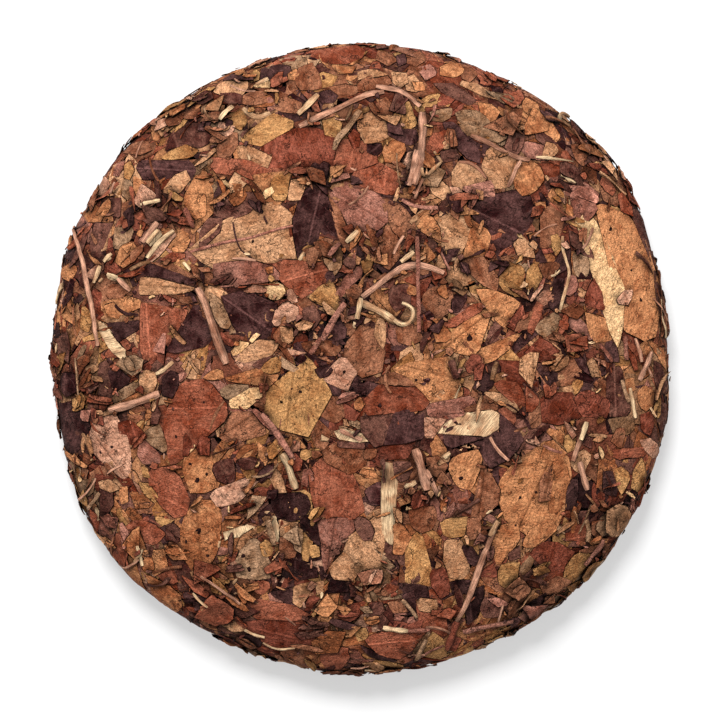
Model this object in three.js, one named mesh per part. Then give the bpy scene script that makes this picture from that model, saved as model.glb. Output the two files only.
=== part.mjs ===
// A pressed cake of aged white tea: one round, domed solid of flattened leaves.
// Its crown falls away in a long curve to a thin, uneven rim. Underneath it has a flat foot ring
// round the dimple that the knot of the pressing cloth leaves.
// Millimetres, +Z up. The origin is the middle of the underside, on the surface that the cake rests on.
import * as THREE from "three";
import { mergeVertices } from "three/addons/utils/BufferGeometryUtils.js";

// Driving dimensions
const RADIUS = 99.9; // mean radius at the widest level
const THICKNESS = 27; // from the resting surface to the crown
const WIDEST_HEIGHT = 8.5; // height of the widest level
const FOOT_RADIUS = 89; // outer edge of the flat foot ring
const DIMPLE_RADIUS = 29; // lip of the dimple, which is the foot ring's inner edge
const DIMPLE_DEPTH = 9;
const CROWN_FULLNESS = 3.2; // how long the crown stays level before it falls to the rim

// The uneven outline: each lobe is a wave round the rim, with its first crest at crestAt degrees
const OUTLINE_LOBES = [
  { waves: 2, depth: 0.9, crestAt: 84 },
  { waves: 4, depth: 0.8, crestAt: 47 },
  { waves: 6, depth: 0.6, crestAt: 33 },
  { waves: 8, depth: 0.35, crestAt: 39 },
  { waves: 17, depth: 0.3, crestAt: 11 },
];

// The pressed leaves that lift the surface in low, overlapping plates
const LEAF_COUNT = 420;
const LEAF_LENGTH = { least: 14, most: 38 };
const LEAF_SLENDERNESS = { least: 1.5, most: 2.6 }; // length over width
const LEAF_STEP = 0.42; // how far one leaf lifts the surface
const LEAF_EDGE = 0.6; // share of the way out from its middle where a leaf starts to thin to its edge
const MOST_RELIEF = 1.1; // the pressing cloth flattens whatever stands higher than this
const BURIED_SHARE = 0.5; // the mean level of the relief, as a share of its range, that the profile stands for
const FREE_HEIGHT = 4; // height over which the relief fades in above the flat foot
const SEED = 20231;

// How finely the surface is divided
const SEGMENTS = 108; // round the axis
const DIMPLE_RINGS = 8;
const FOOT_RINGS = 3;
const UNDERCUT_RINGS = 4; // from the foot out to the widest level
const CROWN_RINGS = 26;
const CURVE_SAMPLES = 160; // points that a formula curve is sampled at before it is spaced evenly

// A repeatable source of numbers from 0 to 1
function randomSource(seed) {
  let state = seed;
  return () => {
    state = (state + 0x6d2b79f5) | 0;
    let mixed = Math.imul(state ^ (state >>> 15), 1 | state);
    mixed = (mixed + Math.imul(mixed ^ (mixed >>> 7), 61 | mixed)) ^ mixed;
    return ((mixed ^ (mixed >>> 14)) >>> 0) / 2 ** 32;
  };
}

// A curve through the points that place(share) gives as share goes from 0 to 1
function formulaCurve(place) {
  const points = [];
  for (let i = 0; i <= CURVE_SAMPLES; i += 1) {
    points.push(place(i / CURVE_SAMPLES));
  }
  return new THREE.SplineCurve(points);
}

// The hollow under the middle, a smooth bell from its deepest point to its lip
function dimpleCurve() {
  return formulaCurve((share) => {
    const height = (DIMPLE_DEPTH * (1 + Math.cos(Math.PI * share))) / 2;
    return new THREE.Vector2(DIMPLE_RADIUS * share, height);
  });
}

// The rounded undercut from the foot ring out to the widest level
function undercutCurve() {
  const overhang = RADIUS - FOOT_RADIUS;
  return new THREE.EllipseCurve(FOOT_RADIUS, WIDEST_HEIGHT, overhang, WIDEST_HEIGHT, -Math.PI / 2, 0);
}

// The upper side from the widest level up over the shoulder to the middle of the crown
function crownCurve() {
  const rise = THICKNESS - WIDEST_HEIGHT;
  return formulaCurve((share) => {
    const angle = (share * Math.PI) / 2;
    const radius = RADIUS * Math.max(Math.cos(angle), 0) ** (2 / CROWN_FULLNESS);
    return new THREE.Vector2(radius, WIDEST_HEIGHT + rise * Math.sin(angle));
  });
}

// The half section, from the middle of the dimple round the rim to the middle of the crown
function sectionPoints() {
  const foot = new THREE.LineCurve(
    new THREE.Vector2(DIMPLE_RADIUS, 0),
    new THREE.Vector2(FOOT_RADIUS, 0),
  );
  const stretches = [
    [dimpleCurve(), DIMPLE_RINGS],
    [foot, FOOT_RINGS],
    [undercutCurve(), UNDERCUT_RINGS],
    [crownCurve(), CROWN_RINGS],
  ];
  const points = [new THREE.Vector2(0, DIMPLE_DEPTH)];
  for (const [curve, rings] of stretches) {
    points.push(...curve.getSpacedPoints(rings).slice(1));
  }
  points[points.length - 1].set(0, THICKNESS);
  return points;
}

// How far the outline stands out of a true circle, as a factor on the radius
function outlineFactor(angle) {
  let extra = 0;
  for (const { waves, depth, crestAt } of OUTLINE_LOBES) {
    extra += depth * Math.cos(waves * (angle - THREE.MathUtils.degToRad(crestAt)));
  }
  return 1 + extra / RADIUS;
}

// Leaves lying flat on the surface, each at a vertex of it and turned at random in its plane
function scatterLeaves(positions, normals) {
  const random = randomSource(SEED);
  const between = ({ least, most }) => least + (most - least) * random();
  const leaves = [];
  while (leaves.length < LEAF_COUNT) {
    const vertex = Math.floor(random() * positions.count);
    const centre = new THREE.Vector3().fromBufferAttribute(positions, vertex);
    // The rings crowd towards the axis, so a vertex near it is taken less often
    if (Math.hypot(centre.x, centre.y) < RADIUS * random()) continue;
    const normal = new THREE.Vector3().fromBufferAttribute(normals, vertex);
    const along = new THREE.Vector3(random() - 0.5, random() - 0.5, random() - 0.5);
    along.projectOnPlane(normal).normalize();
    const halfLength = between(LEAF_LENGTH) / 2;
    const halfWidth = halfLength / between(LEAF_SLENDERNESS);
    leaves.push({ centre, along, halfLength, halfWidth });
  }
  return leaves;
}

// The height that the leaves under one point lift it by, flattened where they pile up
function leafRelief(point, leaves) {
  const offset = new THREE.Vector3();
  let height = 0;
  for (const { centre, along, halfLength, halfWidth } of leaves) {
    offset.subVectors(point, centre);
    if (offset.lengthSq() > halfLength ** 2) continue;
    const lengthwise = offset.dot(along);
    const crosswise = Math.sqrt(Math.max(offset.lengthSq() - lengthwise ** 2, 0));
    const out = Math.hypot(lengthwise / halfLength, crosswise / halfWidth);
    height += LEAF_STEP * (1 - THREE.MathUtils.smoothstep(out, LEAF_EDGE, 1));
  }
  return MOST_RELIEF * (1 - Math.exp(-height / MOST_RELIEF)) - BURIED_SHARE * MOST_RELIEF;
}

// The closed surface: the turned section, made uneven round its outline and in its relief
function cakeGeometry() {
  const turned = new THREE.LatheGeometry(sectionPoints(), SEGMENTS);
  turned.rotateX(Math.PI / 2);
  turned.deleteAttribute("uv");
  turned.deleteAttribute("normal");
  const geometry = mergeVertices(turned, 1e-4);
  geometry.computeVertexNormals();
  const positions = geometry.getAttribute("position");
  const normals = geometry.getAttribute("normal");
  const leaves = scatterLeaves(positions, normals);
  const moved = positions.clone();
  const point = new THREE.Vector3();
  const normal = new THREE.Vector3();
  for (let i = 0; i < positions.count; i += 1) {
    point.fromBufferAttribute(positions, i);
    normal.fromBufferAttribute(normals, i);
    const factor = outlineFactor(Math.atan2(point.y, point.x));
    const fadeIn = THREE.MathUtils.smoothstep(point.z, 0, FREE_HEIGHT);
    const lift = fadeIn * leafRelief(point, leaves);
    point.x *= factor;
    point.y *= factor;
    point.addScaledVector(normal, lift);
    moved.setXYZ(i, point.x, point.y, point.z);
  }
  geometry.setAttribute("position", moved);
  geometry.computeVertexNormals();
  return geometry;
}

// Puts the middle of the outline on the axis
function centreOnAxis(geometry) {
  geometry.computeBoundingBox();
  const middle = geometry.boundingBox.getCenter(new THREE.Vector3());
  geometry.translate(-middle.x, -middle.y, 0);
}

function teaCake() {
  const geometry = cakeGeometry();
  centreOnAxis(geometry);
  const pressedLeaf = new THREE.MeshStandardMaterial({ color: 0x8f5c40, roughness: 0.78, metalness: 0 });
  const mesh = new THREE.Mesh(geometry, pressedLeaf);
  mesh.name = "tea_cake";
  return mesh;
}

const whiteTeaCake = new THREE.Group();
whiteTeaCake.add(teaCake());

export default whiteTeaCake;
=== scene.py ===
import math

import bpy
import numpy as np
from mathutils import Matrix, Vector
from mathutils.bvhtree import BVHTree
from mathutils.geometry import delaunay_2d_cdt


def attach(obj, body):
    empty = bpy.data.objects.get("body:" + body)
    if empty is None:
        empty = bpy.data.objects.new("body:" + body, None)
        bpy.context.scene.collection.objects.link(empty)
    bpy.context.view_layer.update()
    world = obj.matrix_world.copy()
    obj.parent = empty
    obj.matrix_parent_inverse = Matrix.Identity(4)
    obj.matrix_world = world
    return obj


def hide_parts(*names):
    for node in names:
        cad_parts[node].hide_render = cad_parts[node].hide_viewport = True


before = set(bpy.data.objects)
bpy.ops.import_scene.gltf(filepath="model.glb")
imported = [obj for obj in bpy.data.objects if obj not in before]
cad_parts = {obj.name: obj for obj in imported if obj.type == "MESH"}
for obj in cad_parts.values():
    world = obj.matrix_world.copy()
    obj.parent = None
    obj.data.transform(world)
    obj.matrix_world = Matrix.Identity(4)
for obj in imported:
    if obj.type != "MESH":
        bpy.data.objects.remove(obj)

MM = 0.001
TAU = 2 * math.pi
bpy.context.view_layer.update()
CAKE = "tea_cake"

# The camera that the photograph was taken with, as measured from the outline of the cake
FRAME_PIXELS = 720
SENSOR = 36.0
CAMERA_LENS = 143.0
CAMERA_DISTANCE = 900.0
CAMERA_ELEVATION = math.radians(84)
CAMERA_TARGET = (0.0, -1.7, 10.0)

# The skin of the cake is measured along this many turns and steps from the crown to the dimple
TURNS = 144
STEPS = 260
INNER_POINT_HEIGHT = 15.0
SKIN_SPACING = 1.0
CROWN_REACH = 124.0 # along the surface from the crown, over the rim and just under the foot
DIMPLE_REACH = 108.0 # along the surface from the dimple to halfway up the rim
RIM_START = 84.0 # where the crown starts to fall to the rim

# The pile of leaves
CELL = 0.4 # side of one cell of a height map
LEVEL_REACH = 7.0 # the pile is pressed level over about this distance
PRESSED_TO = 0.9 # share of its loose height that the pile keeps
SUNK = 0.1 # how far the mean of the pile lies under the skin
MOST_RELIEF = 1.1 # how far a leaf stands out of the skin
FREE_HEIGHT = 4.0 # the relief fades out below this, towards the flat foot
EDGE_FLARE = 0.3 # how much wider the underside of a leaf is than its top; it is painted near black, a painted shadow in the gap round the leaf
EDGE_JITTER = 0.08 # how unevenly the edge of a leaf stands up
SCRAP_CURL = 0.25 # how differently the scattered leaves curl up at one side
DRAPE_CUT = 0.12 # how far a leaf may cut into what it lies on
STEM_END = 0.8 # share of its width that a stem keeps at its ends
CURLED = 0.45 # leaves read from the photograph that curl up more than this lie on the others
BED_DETAIL = 0.6 # fineness of the meshes of the bed, of the fill over it and of its scraps
FILL_DETAIL = 0.75
SCRAP_DETAIL = 0.85
SHOWING_CELLS = 4 # a piece is kept when more than this many cells of it are bare
SHOWING_SHARE = 0.03 # or more than this share of them
SHOWING_DEPTH = 0.1 # how far under the top of the pile a cell still counts as bare
CORE_DEPTH = 2.4 # depth of the crumbly inside under the skin, near black: dark leaf, and painted shade in the gaps
CORE_LUMPS = 0.25 # how uneven that depth is
CORE_LOWEST = 0.4 # the core stays this far above the floor
CORE_STEPS = 4 # steps of the skin's grid between two rings of the core
SHARP_ANGLE = math.radians(50)
UV_GAP = 0.5 # between pieces laid out side by side for the bake
SEED = 51

# Share of its relief that each layer keeps when it is pressed, before the next one is laid
CROWN_BED_PRESS = 0.25
CROWN_FILL_PRESS = 0.15
CROWN_PHOTO_PRESS = 0.5
DIMPLE_BED_PRESS = 0.3
DIMPLE_FILL_PRESS = 0.4

# Light, with places and sizes in metres
LIGHT_GAIN = 1.24 # how much lighter than its own colour the light shows a surface in the render
HAZE = 0.012 # the light that every surface sends back on top of that
CREVICE_SHADE_START = 0.1 # painted shade: a place this far below its surroundings starts to darken
CREVICE_SHADE_RATE = 1.5 # how fast the painted shade deepens from there
FLOOR_TONE = (0.36, 0.36, 0.36, 1)
FLOOR_GLOW = 0.46 # the floor's own light, which keeps it nearly white
FLOOR_SIDE = 6.0
FLOOR_HEIGHT = -0.0002 # just under the foot of the cake
WHITE = (1, 1, 1, 1)
ROOM_LIGHT = 0.45 # even, from all round
KEY_LAMP = {"place": (-0.25, 0.8, 1.1), "size": 0.7, "power": 34.0}
FILL_LAMP = {"place": (0.5, -0.5, 1.1), "size": 1.2, "power": 3.0}

# Surfaces
LEAF_SHINE = 0.06
STEM_SHINE = 0.12
CORE_SHINE = 0.15
PALE_KIND = 330 # sum of the channels of a kind's lighter tone above which its veins are darker
SPECK_TONE = (58, 32, 26)
# Near black: the cake's dark inside, and painted shade for the deep gaps where it shows
CORE_TONES = ((30, 16, 14), (70, 42, 34))

# Tones of each kind of leaf as the photograph shows them: its lighter and its darker patches
KINDS = {
    "tan": ((203, 152, 114), (160, 110, 78)),
    "ochre": ((192, 142, 94), (146, 96, 60)),
    "orange": ((198, 136, 94), (148, 88, 58)),
    "salmon": ((208, 156, 128), (152, 100, 78)),
    "russet": ((160, 96, 74), (116, 58, 42)),
    "maroon": ((140, 80, 64), (98, 48, 36)),
    "brown": ((158, 106, 80), (110, 64, 46)),
    "umber": ((118, 80, 68), (72, 42, 38)),
    "black": ((96, 66, 62), (48, 29, 30)),
    "mauve": ((178, 122, 104), (130, 80, 66)),
    "olive": ((176, 138, 108), (122, 86, 62)),
    "cream": ((238, 192, 142), (208, 156, 108)),
    "straw": ((240, 204, 160), (186, 140, 104)),
    "stem": ((210, 156, 128), (150, 102, 80)),
}
FILL_SHARES = {
    "tan": 11, "ochre": 9, "orange": 15, "salmon": 5, "russet": 12, "maroon": 7, "brown": 17,
    "umber": 11, "black": 8, "mauve": 6, "olive": 4,
}
BED_SHARES = {"brown": 14, "umber": 30, "black": 28, "maroon": 12, "russet": 10, "orange": 6}
# How strongly a kind of leaf is crumpled, in millimetres, and what the rest get
CRUMPLE = {
    "black": 0.2, "umber": 0.16, "maroon": 0.15, "russet": 0.12, "olive": 0.22, "salmon": 0.18,
    "mauve": 0.17,
}
PHOTO_LEAF_CRUMPLE = 0.13
SCRAP_CRUMPLE = 0.09

# The leaves that stand out in the photograph: the kind, the corners of the outline and, where it
# shows, the midrib. All are in photograph pixels, read one by one. Curl is how far one side is lifted,
# in millimetres, and shade makes a leaf or stem lighter or darker than others of its kind.
photo_leaves = []
photo_stems = []
photo_spots = []


def leaf(kind, outline, rib=None, curl=0.0, shade=1.0):
    photo_leaves.append({"kind": kind, "outline": outline, "rib": rib, "curl": curl, "shade": shade})


def stem(kind, route, width, shade=1.0):
    photo_stems.append({"kind": kind, "route": route, "width": width, "shade": shade})


def spots(text, radius):
    photo_spots.append({"text": text, "radius": radius})


# The top of the photograph
leaf("brown", "216,150 222,138 237,132 238,145 230,156 218,156")
leaf("tan", "236,146 248,145 272,157 262,162 268,168 256,161 240,158")
leaf("brown", "295,80 300,66 312,62 320,78 322,88 300,90")
leaf("orange", "335,66 356,66 352,73 338,74")
leaf("brown", "322,88 345,84 362,88 352,95 330,98")
leaf("brown", "270,105 285,97 302,103 300,113 282,112")
leaf("black", "320,92 330,90 338,96 334,102 322,103")
leaf("ochre", "322,120 335,112 342,124 338,138 325,135")
leaf("orange", "248,178 270,174 292,170 288,190 280,205 262,202 255,190")
leaf("mauve", "323,183 345,181 370,190 387,205 388,222 370,233 350,228 338,205", rib="323,182 385,222")
leaf("umber", "168,140 175,128 190,122 205,125 212,140 200,147 185,145 165,150")
leaf("ochre", "161,158 172,150 186,145 198,150 193,156 176,158", curl=0.6)
leaf("black", "136,168 142,160 165,162 188,160 196,170 190,182 175,174 160,177 145,180",
     rib="137,168 196,171")
leaf("tan", "163,192 170,180 186,170 190,178 182,190 172,195")
leaf("ochre", "124,165 130,161 134,170 130,180 124,178")
leaf("olive", "121,185 126,177 132,183 133,195 127,200 122,195")
leaf("orange", "134,176 142,180 150,192 146,199 137,197 133,188")
leaf("brown", "122,152 130,143 148,141 152,150 140,155")
leaf("orange", "149,121 155,125 161,133 158,140 152,138")
leaf("mauve", "112,174 116,163 124,160 123,168 118,176")
leaf("brown", "180,108 190,104 200,108 196,118 184,118")
leaf("ochre", "166,128 178,121 188,118 184,125 172,132")
leaf("orange", "288,74 296,68 299,74 294,80 288,79")
leaf("brown", "378,101 386,96 394,104 390,116 380,120 374,112")
leaf("salmon", "402,164 408,152 414,150 413,164 406,170")
leaf("orange", "516,160 528,158 540,166 544,180 534,192 522,196 514,186 512,172")
leaf("mauve", "516,144 530,142 545,146 556,152 548,160 530,158")
leaf("orange", "396,196 406,186 414,188 410,198 400,202")
leaf("brown", "378,50 392,52 398,60 388,66 376,60")
leaf("black", "396,56 404,52 406,62 398,66")
leaf("brown", "406,52 420,50 426,58 416,66 406,62")
leaf("mauve", "418,66 430,64 436,74 426,80")
leaf("tan", "404,78 414,74 424,88 416,92 406,90")
leaf("brown", "458,62 470,66 478,74 470,82 462,78")
leaf("orange", "478,102 492,104 500,112 492,124 482,116")
leaf("russet", "508,94 520,88 524,98 514,108")
leaf("orange", "526,98 538,104 540,114 528,114 522,106")
leaf("umber", "534,128 546,134 558,142 550,148 538,140")
leaf("orange", "540,120 552,120 560,134 556,142 546,134")
leaf("tan", "546,142 554,144 558,152 548,160 542,156")
leaf("brown", "572,144 582,142 590,152 584,166 576,160")
leaf("umber", "560,162 572,164 582,172 574,178 560,172")
leaf("brown", "600,188 612,186 622,198 618,206 604,200")
leaf("russet", "600,182 608,176 616,188 612,196")

# The upper middle
leaf("orange", "183,202 190,186 202,172 213,190 213,213 199,215 192,234 184,216")
leaf("umber", "215,215 225,200 245,192 262,196 252,210 235,218")
leaf("umber", "200,232 208,218 222,218 220,232 208,242 200,250")
leaf("umber", "303,308 314,305 321,318 312,330 304,322")
leaf("mauve", "335,295 342,280 355,268 364,262 362,276 350,286 342,297", curl=0.5)
leaf("brown", "345,290 354,284 362,288 360,298 348,300")
leaf("black", "330,330 338,318 346,322 345,338 334,342")
leaf("brown", "345,345 360,325 378,330 385,350 382,372 362,378 345,365")
leaf("tan", "514,243 522,235 533,245 535,258 518,256")
leaf("umber", "422,240 432,237 438,248 430,256 423,252")
leaf("brown", "395,328 404,322 418,326 424,340 410,346 398,342")
leaf("orange", "432,328 444,326 452,334 446,342 436,342")
leaf("orange", "475,352 490,345 510,336 522,333 510,348 495,360 480,365")
leaf("black", "520,200 530,196 534,210 526,218")
leaf("umber", "628,200 636,206 646,224 654,246 660,268 652,262 644,240 634,220")
leaf("umber", "656,270 662,280 664,300 662,320 658,306 656,288")
leaf("ochre", "551,236 558,234 562,246 556,256 552,248")
leaf("tan", "188,250 200,247 208,240 215,232 224,220 231,221 238,218 243,211 250,206 258,209 268,206 "
     "276,201 281,207 286,212 293,214 294,228 293,243 296,259 284,260 272,262 262,259 252,261 240,262 "
     "233,267 222,263 212,268 204,263 196,257", rib="190,251 294,226")
leaf("black", "306,190 300,200 296,212 293,221 294,234 297,248 300,260 304,261 308,256 313,252 318,254 "
     "323,248 331,243 337,236 338,226 335,217 329,209 328,200 321,192 313,186", rib="319,196 305,258")
leaf("brown", "329,196 336,199 340,212 344,222 348,232 352,243 356,250 350,252 343,246 338,236 338,224 "
     "335,214 330,205", shade=1.1)
leaf("mauve", "213,264 222,263 232,268 240,265 248,261 258,262 264,268 271,266 276,272 279,280 262,281 "
     "250,281 238,283 228,286 217,288 220,280 213,274", shade=0.92)
leaf("orange", "265,268 272,266 273,273 269,274")
leaf("russet", "273,264 282,261 292,260 300,264 304,269 312,269 320,264 330,261 342,261 347,267 "
     "339,274 334,281 324,284 316,289 307,291 302,299 299,290 291,285 283,284 278,276",
     rib="284,281 340,266", shade=0.94)
leaf("cream", "265,287 272,286 278,283 284,287 286,292 280,297 278,300 270,299 267,294", curl=0.6)
leaf("salmon", "287,290 291,289 296,295 298,302 292,303 287,298")
leaf("salmon", "283,303 287,301 292,305 298,307 299,313 296,319 290,322 281,325 276,326 272,322 "
     "277,317 275,311", curl=0.5)
leaf("tan", "265,317 268,311 272,309 276,312 277,318 272,321 266,321")
leaf("ochre", "309,298 314,292 319,292 322,285 326,287 333,282 337,293 339,303 341,307 334,312 331,306 "
     "322,304 320,299 314,301")
leaf("black", "221,296 233,295 240,291 250,292 258,297 268,301 277,304 272,308 264,312 263,319 267,323 "
     "273,325 279,333 277,338 270,336 264,339 259,333 252,338 247,343 241,339 236,331 232,322 228,312 "
     "224,303", rib="222,297 262,325", shade=1.05)
leaf("cream", "240,341 249,343 243,350 234,356 231,352")
leaf("cream", "249,341 256,333 260,335 252,343")
leaf("tan", "244,349 252,343 262,340 272,342 279,341 276,349 268,357 255,360 240,362 232,358")
leaf("olive", "209,293 216,296 220,304 227,313 231,324 228,329 222,328 215,318 211,308", shade=1.1)
leaf("brown", "301,343 312,341 325,340 338,342 341,350 336,356 322,355 308,352 303,348", shade=0.9)
leaf("brown", "381,199 390,201 398,203 403,208 407,214 413,219 416,226 415,236 408,238 400,238 395,232 "
     "390,224 386,214 383,206", shade=1.08)
leaf("brown", "381,236 385,229 389,225 393,230 396,234 400,243 401,252 398,260 393,266 389,270 384,266 "
     "381,256 380,246", rib="395,230 391,266", shade=1.15)
leaf("orange", "420,222 424,219 425,214 430,216 434,219 438,227 441,234 441,243 437,240 433,234 "
     "426,233 421,231 417,226")
leaf("tan", "434,219 443,219 452,217 453,211 460,210 463,217 469,221 470,230 467,240 463,249 459,255 "
     "451,256 445,251 441,243 443,235 440,227", rib="434,219 468,236")
leaf("orange", "463,255 467,247 470,238 471,228 471,220 476,222 480,228 487,229 491,237 487,247 "
     "484,256 479,254 473,257 466,258", shade=1.08)
leaf("black", "466,205 474,203 482,199 493,196 505,193 516,190 524,189 527,196 534,204 536,214 530,224 "
     "525,231 517,235 512,239 514,250 510,260 498,260 494,247 491,233 485,226 477,219 471,212",
     rib="466,206 525,235")
leaf("ochre", "500,268 505,263 510,262 514,266 520,265 524,269 523,283 521,297 512,294 503,290 499,284")
leaf("tan", "441,276 445,270 450,266 458,268 466,272 472,279 470,284 460,287 451,284 444,280")
leaf("brown", "462,258 472,255 479,255 485,259 490,266 496,273 499,279 497,291 488,287 480,282 473,275 "
     "466,268")
leaf("orange", "476,289 483,291 490,289 497,293 504,297 513,298 520,302 517,309 514,316 511,322 "
     "506,328 500,325 495,320 491,313 485,305 480,298", shade=1.08)
leaf("orange", "443,343 448,335 455,330 461,324 468,321 476,314 482,310 488,311 490,318 487,326 "
     "484,334 481,342 479,350 474,355 466,355 461,348 457,344 453,350 446,350",
     rib="447,345 486,314", shade=1.1)
leaf("russet", "445,322 452,321 460,315 467,309 474,304 480,303 484,307 478,311 470,317 462,322 "
     "455,327 446,328 443,325")
leaf("black", "454,295 460,293 467,294 466,301 461,308 454,313 452,304", shade=0.8)
leaf("brown", "423,295 428,290 436,286 444,288 452,292 453,303 448,312 441,319 433,318 426,310 422,303")
leaf("umber", "388,290 392,286 399,285 405,284 411,288 409,296 411,303 402,304 396,312 391,306 389,298")
leaf("orange", "437,290 441,285 445,283 447,290 448,297 446,299 440,295")
leaf("tan", "374,335 375,326 378,319 383,319 385,327 386,337 385,345 383,349 378,342")

# The right of the upper half
leaf("cream", "566,199 571,200 576,203 582,207 589,213 596,221 601,231 606,244 612,258 617,271 621,285 "
     "623,300 623,316 622,330 620,341 618,348 614,341 612,328 610,314 607,299 604,286 601,273 597,260 "
     "592,248 586,236 579,224 574,213 569,205", curl=0.5)
leaf("orange", "595,206 601,204 607,205 613,210 620,212 628,215 634,221 641,231 646,241 650,252 "
     "654,263 657,273 660,283 663,293 663,301 659,311 657,322 656,333 650,338 641,338 634,332 629,334 "
     "624,330 626,312 625,295 622,278 616,263 610,250 606,238 602,226 598,214", shade=1.1)
leaf("black", "568,240 571,250 570,262 566,270 560,272 553,273 548,276 552,266 557,258 563,249",
     shade=0.7)
leaf("mauve", "564,285 566,278 571,275 576,276 578,284 576,291 570,296 564,292")
leaf("black", "555,279 562,278 565,288 566,298 565,308 558,312 550,308 547,298 552,292 553,285",
     shade=0.7)
leaf("umber", "569,230 574,232 580,238 586,243 592,250 594,259 588,257 582,253 576,248 571,244")
leaf("olive", "575,252 582,255 588,259 590,266 588,275 583,280 577,276 574,268 573,259")
leaf("maroon", "584,301 588,293 592,284 596,275 600,272 603,284 605,296 606,305 604,310 595,307 586,304")
leaf("orange", "585,312 590,316 596,317 603,317 608,322 611,332 612,341 602,342 594,341 590,334 587,323")
leaf("mauve", "566,313 573,312 580,317 587,326 593,340 586,338 578,333 570,327 563,322", shade=0.85)
leaf("olive", "537,326 542,320 549,315 556,312 562,318 559,325 552,331 545,337 539,334 535,330")
leaf("russet", "545,294 543,302 540,314 537,325 532,335 528,332 530,320 533,308 539,298")
leaf("ochre", "527,272 531,265 535,262 539,262 541,270 542,280 540,289 533,294 527,290 526,281")
leaf("brown", "539,264 548,263 556,262 560,265 554,272 550,280 544,277 541,270", shade=0.9)
leaf("brown", "541,215 547,207 556,204 563,207 566,216 562,225 559,236 560,246 556,258 549,262 543,261 "
     "541,245", shade=0.95)
leaf("black", "606,342 612,341 618,350 619,362 607,362 604,352")

# The middle
leaf("ochre", "291,344 296,350 303,354 310,360 315,370 320,378 327,387 332,395 323,394 313,397 307,403 "
     "305,408 295,409 305,413 308,418 309,428 308,437 300,435 287,430 283,426 280,430 275,425 270,417 "
     "264,412 267,405 265,393 270,388 278,375 280,360 283,352", rib="297,347 286,426", shade=1.05)
leaf("orange", "225,378 238,374 250,370 257,368 262,371 270,373 279,375 274,381 268,387 262,381 "
     "250,381 240,382 228,381")
leaf("orange", "203,378 210,373 217,369 223,371 224,378 212,380")
leaf("ochre", "261,369 267,362 275,357 281,360 278,372 270,374")
leaf("umber", "252,365 262,358 275,355 268,364 262,369 255,368")
leaf("olive", "221,389 229,384 238,386 240,395 248,385 249,396 240,401 226,399 221,395", shade=0.72)
leaf("cream", "229,400 238,398 247,396 250,388 258,387 264,390 265,394 259,398 252,403 247,409 241,406 "
     "235,404 231,408 229,404", shade=0.92, curl=0.5)
leaf("brown", "240,412 247,411 258,412 261,418 263,428 266,432 258,434 248,438 241,441 232,440 226,442 "
     "219,437 225,430 228,420 232,412", rib="220,436 254,413", shade=1.06)
leaf("brown", "308,408 318,401 330,397 340,397 343,406 345,416 336,423 326,419 318,413", shade=1.06)
leaf("maroon", "343,403 352,408 360,413 355,421 345,418")
leaf("brown", "308,413 316,419 323,424 331,432 329,440 324,449 319,452 314,444 311,434 308,424",
     rib="310,414 322,450", shade=1.12)
leaf("salmon", "330,372 336,361 341,357 347,362 357,372 352,382 348,391 338,386 330,384 320,380 "
     "324,376", shade=1.05)
leaf("black", "315,370 320,367 331,366 333,370 326,376 320,378", shade=0.8)
leaf("black", "349,389 353,383 356,376 362,382 366,388 358,394 352,392", shade=0.8)
leaf("umber", "215,463 222,460 233,459 235,470 235,480 226,484 217,480 213,471", shade=1.12)
leaf("umber", "236,461 245,458 258,459 255,466 248,470 240,467", shade=0.85)
leaf("salmon", "216,489 228,486 240,484 253,479 258,473 262,477 256,484 248,490 244,497 237,503 "
     "226,506 215,503 210,497")
leaf("maroon", "254,490 262,487 268,488 270,496 264,502 256,500")
leaf("tan", "270,470 274,466 279,473 282,482 284,492 288,500 290,508 286,508 281,498 276,488 270,480")
leaf("black", "271,500 276,496 282,495 288,505 292,498 300,492 308,497 311,505 306,515 300,520 285,520 "
     "276,515 272,508", shade=0.7)
leaf("mauve", "303,470 308,468 313,473 313,480 307,487 301,484")
leaf("salmon", "288,442 294,440 300,442 299,451 292,452")
leaf("ochre", "301,451 312,449 320,449 314,455 305,460 300,458")
leaf("straw", "335,432 341,430 350,433 360,436 372,436 373,441 360,442 348,440 337,437", curl=0.5)
leaf("tan", "339,426 348,428 355,431 350,434 341,431")
leaf("umber", "337,441 350,443 365,443 365,448 350,447 338,446")
stem("mauve", "262,414 268,421 275,430 282,441 288,450 294,460", 6)
stem("straw", "282,454 287,462 290,472 294,484 296,489", 7, shade=0.82)
leaf("orange", "392,369 410,362 433,362 448,357 452,365 455,375 453,385 460,388 463,395 453,399 "
     "440,402 432,402 427,397 418,388 413,378 405,372", rib="408,366 455,378", shade=0.94)
leaf("brown", "377,383 384,375 397,373 408,378 415,386 405,385 390,384", shade=0.9)
leaf("russet", "378,385 388,383 400,383 412,385 420,392 430,402 425,407 412,409 400,411 390,412 "
     "380,416 368,416 361,408 361,402 372,400 377,393", shade=0.86)
leaf("black", "393,413 400,411 412,410 424,410 423,420 425,430 423,438 410,442 400,443 384,445 386,435 "
     "389,425", shade=0.98)
leaf("umber", "360,417 372,418 385,416 393,414 388,425 384,437 383,445 374,447 372,441 372,436 361,432",
     shade=0.9)
leaf("maroon", "362,446 380,443 400,443 416,441 412,450 408,458 395,459 383,459 370,454", shade=0.8)
leaf("mauve", "432,403 445,401 460,400 470,396 476,400 474,407 466,410 458,416 448,419 440,417 428,416 "
     "426,408")
leaf("salmon", "425,417 436,418 447,419 441,426 436,433 432,438 425,438 424,428")
leaf("straw", "436,431 445,424 455,418 465,414 475,413 485,412 494,411 499,414 498,424 495,431 488,435 "
     "481,436 483,428 484,421 474,420 462,423 450,427 440,433", curl=0.6, shade=0.9)
leaf("tan", "467,422 475,421 483,422 480,432 472,432", shade=0.88)
leaf("black", "484,437 496,432 500,425 499,412 507,420 515,426 521,434 524,440 518,447 514,452 510,458 "
     "500,464 492,468 486,462 484,453 479,445 472,441 478,438", shade=0.98)
leaf("black", "443,436 450,428 460,424 466,425 470,431 480,434 484,438 478,440 468,441 460,444 452,448 "
     "446,445", shade=0.9)
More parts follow.
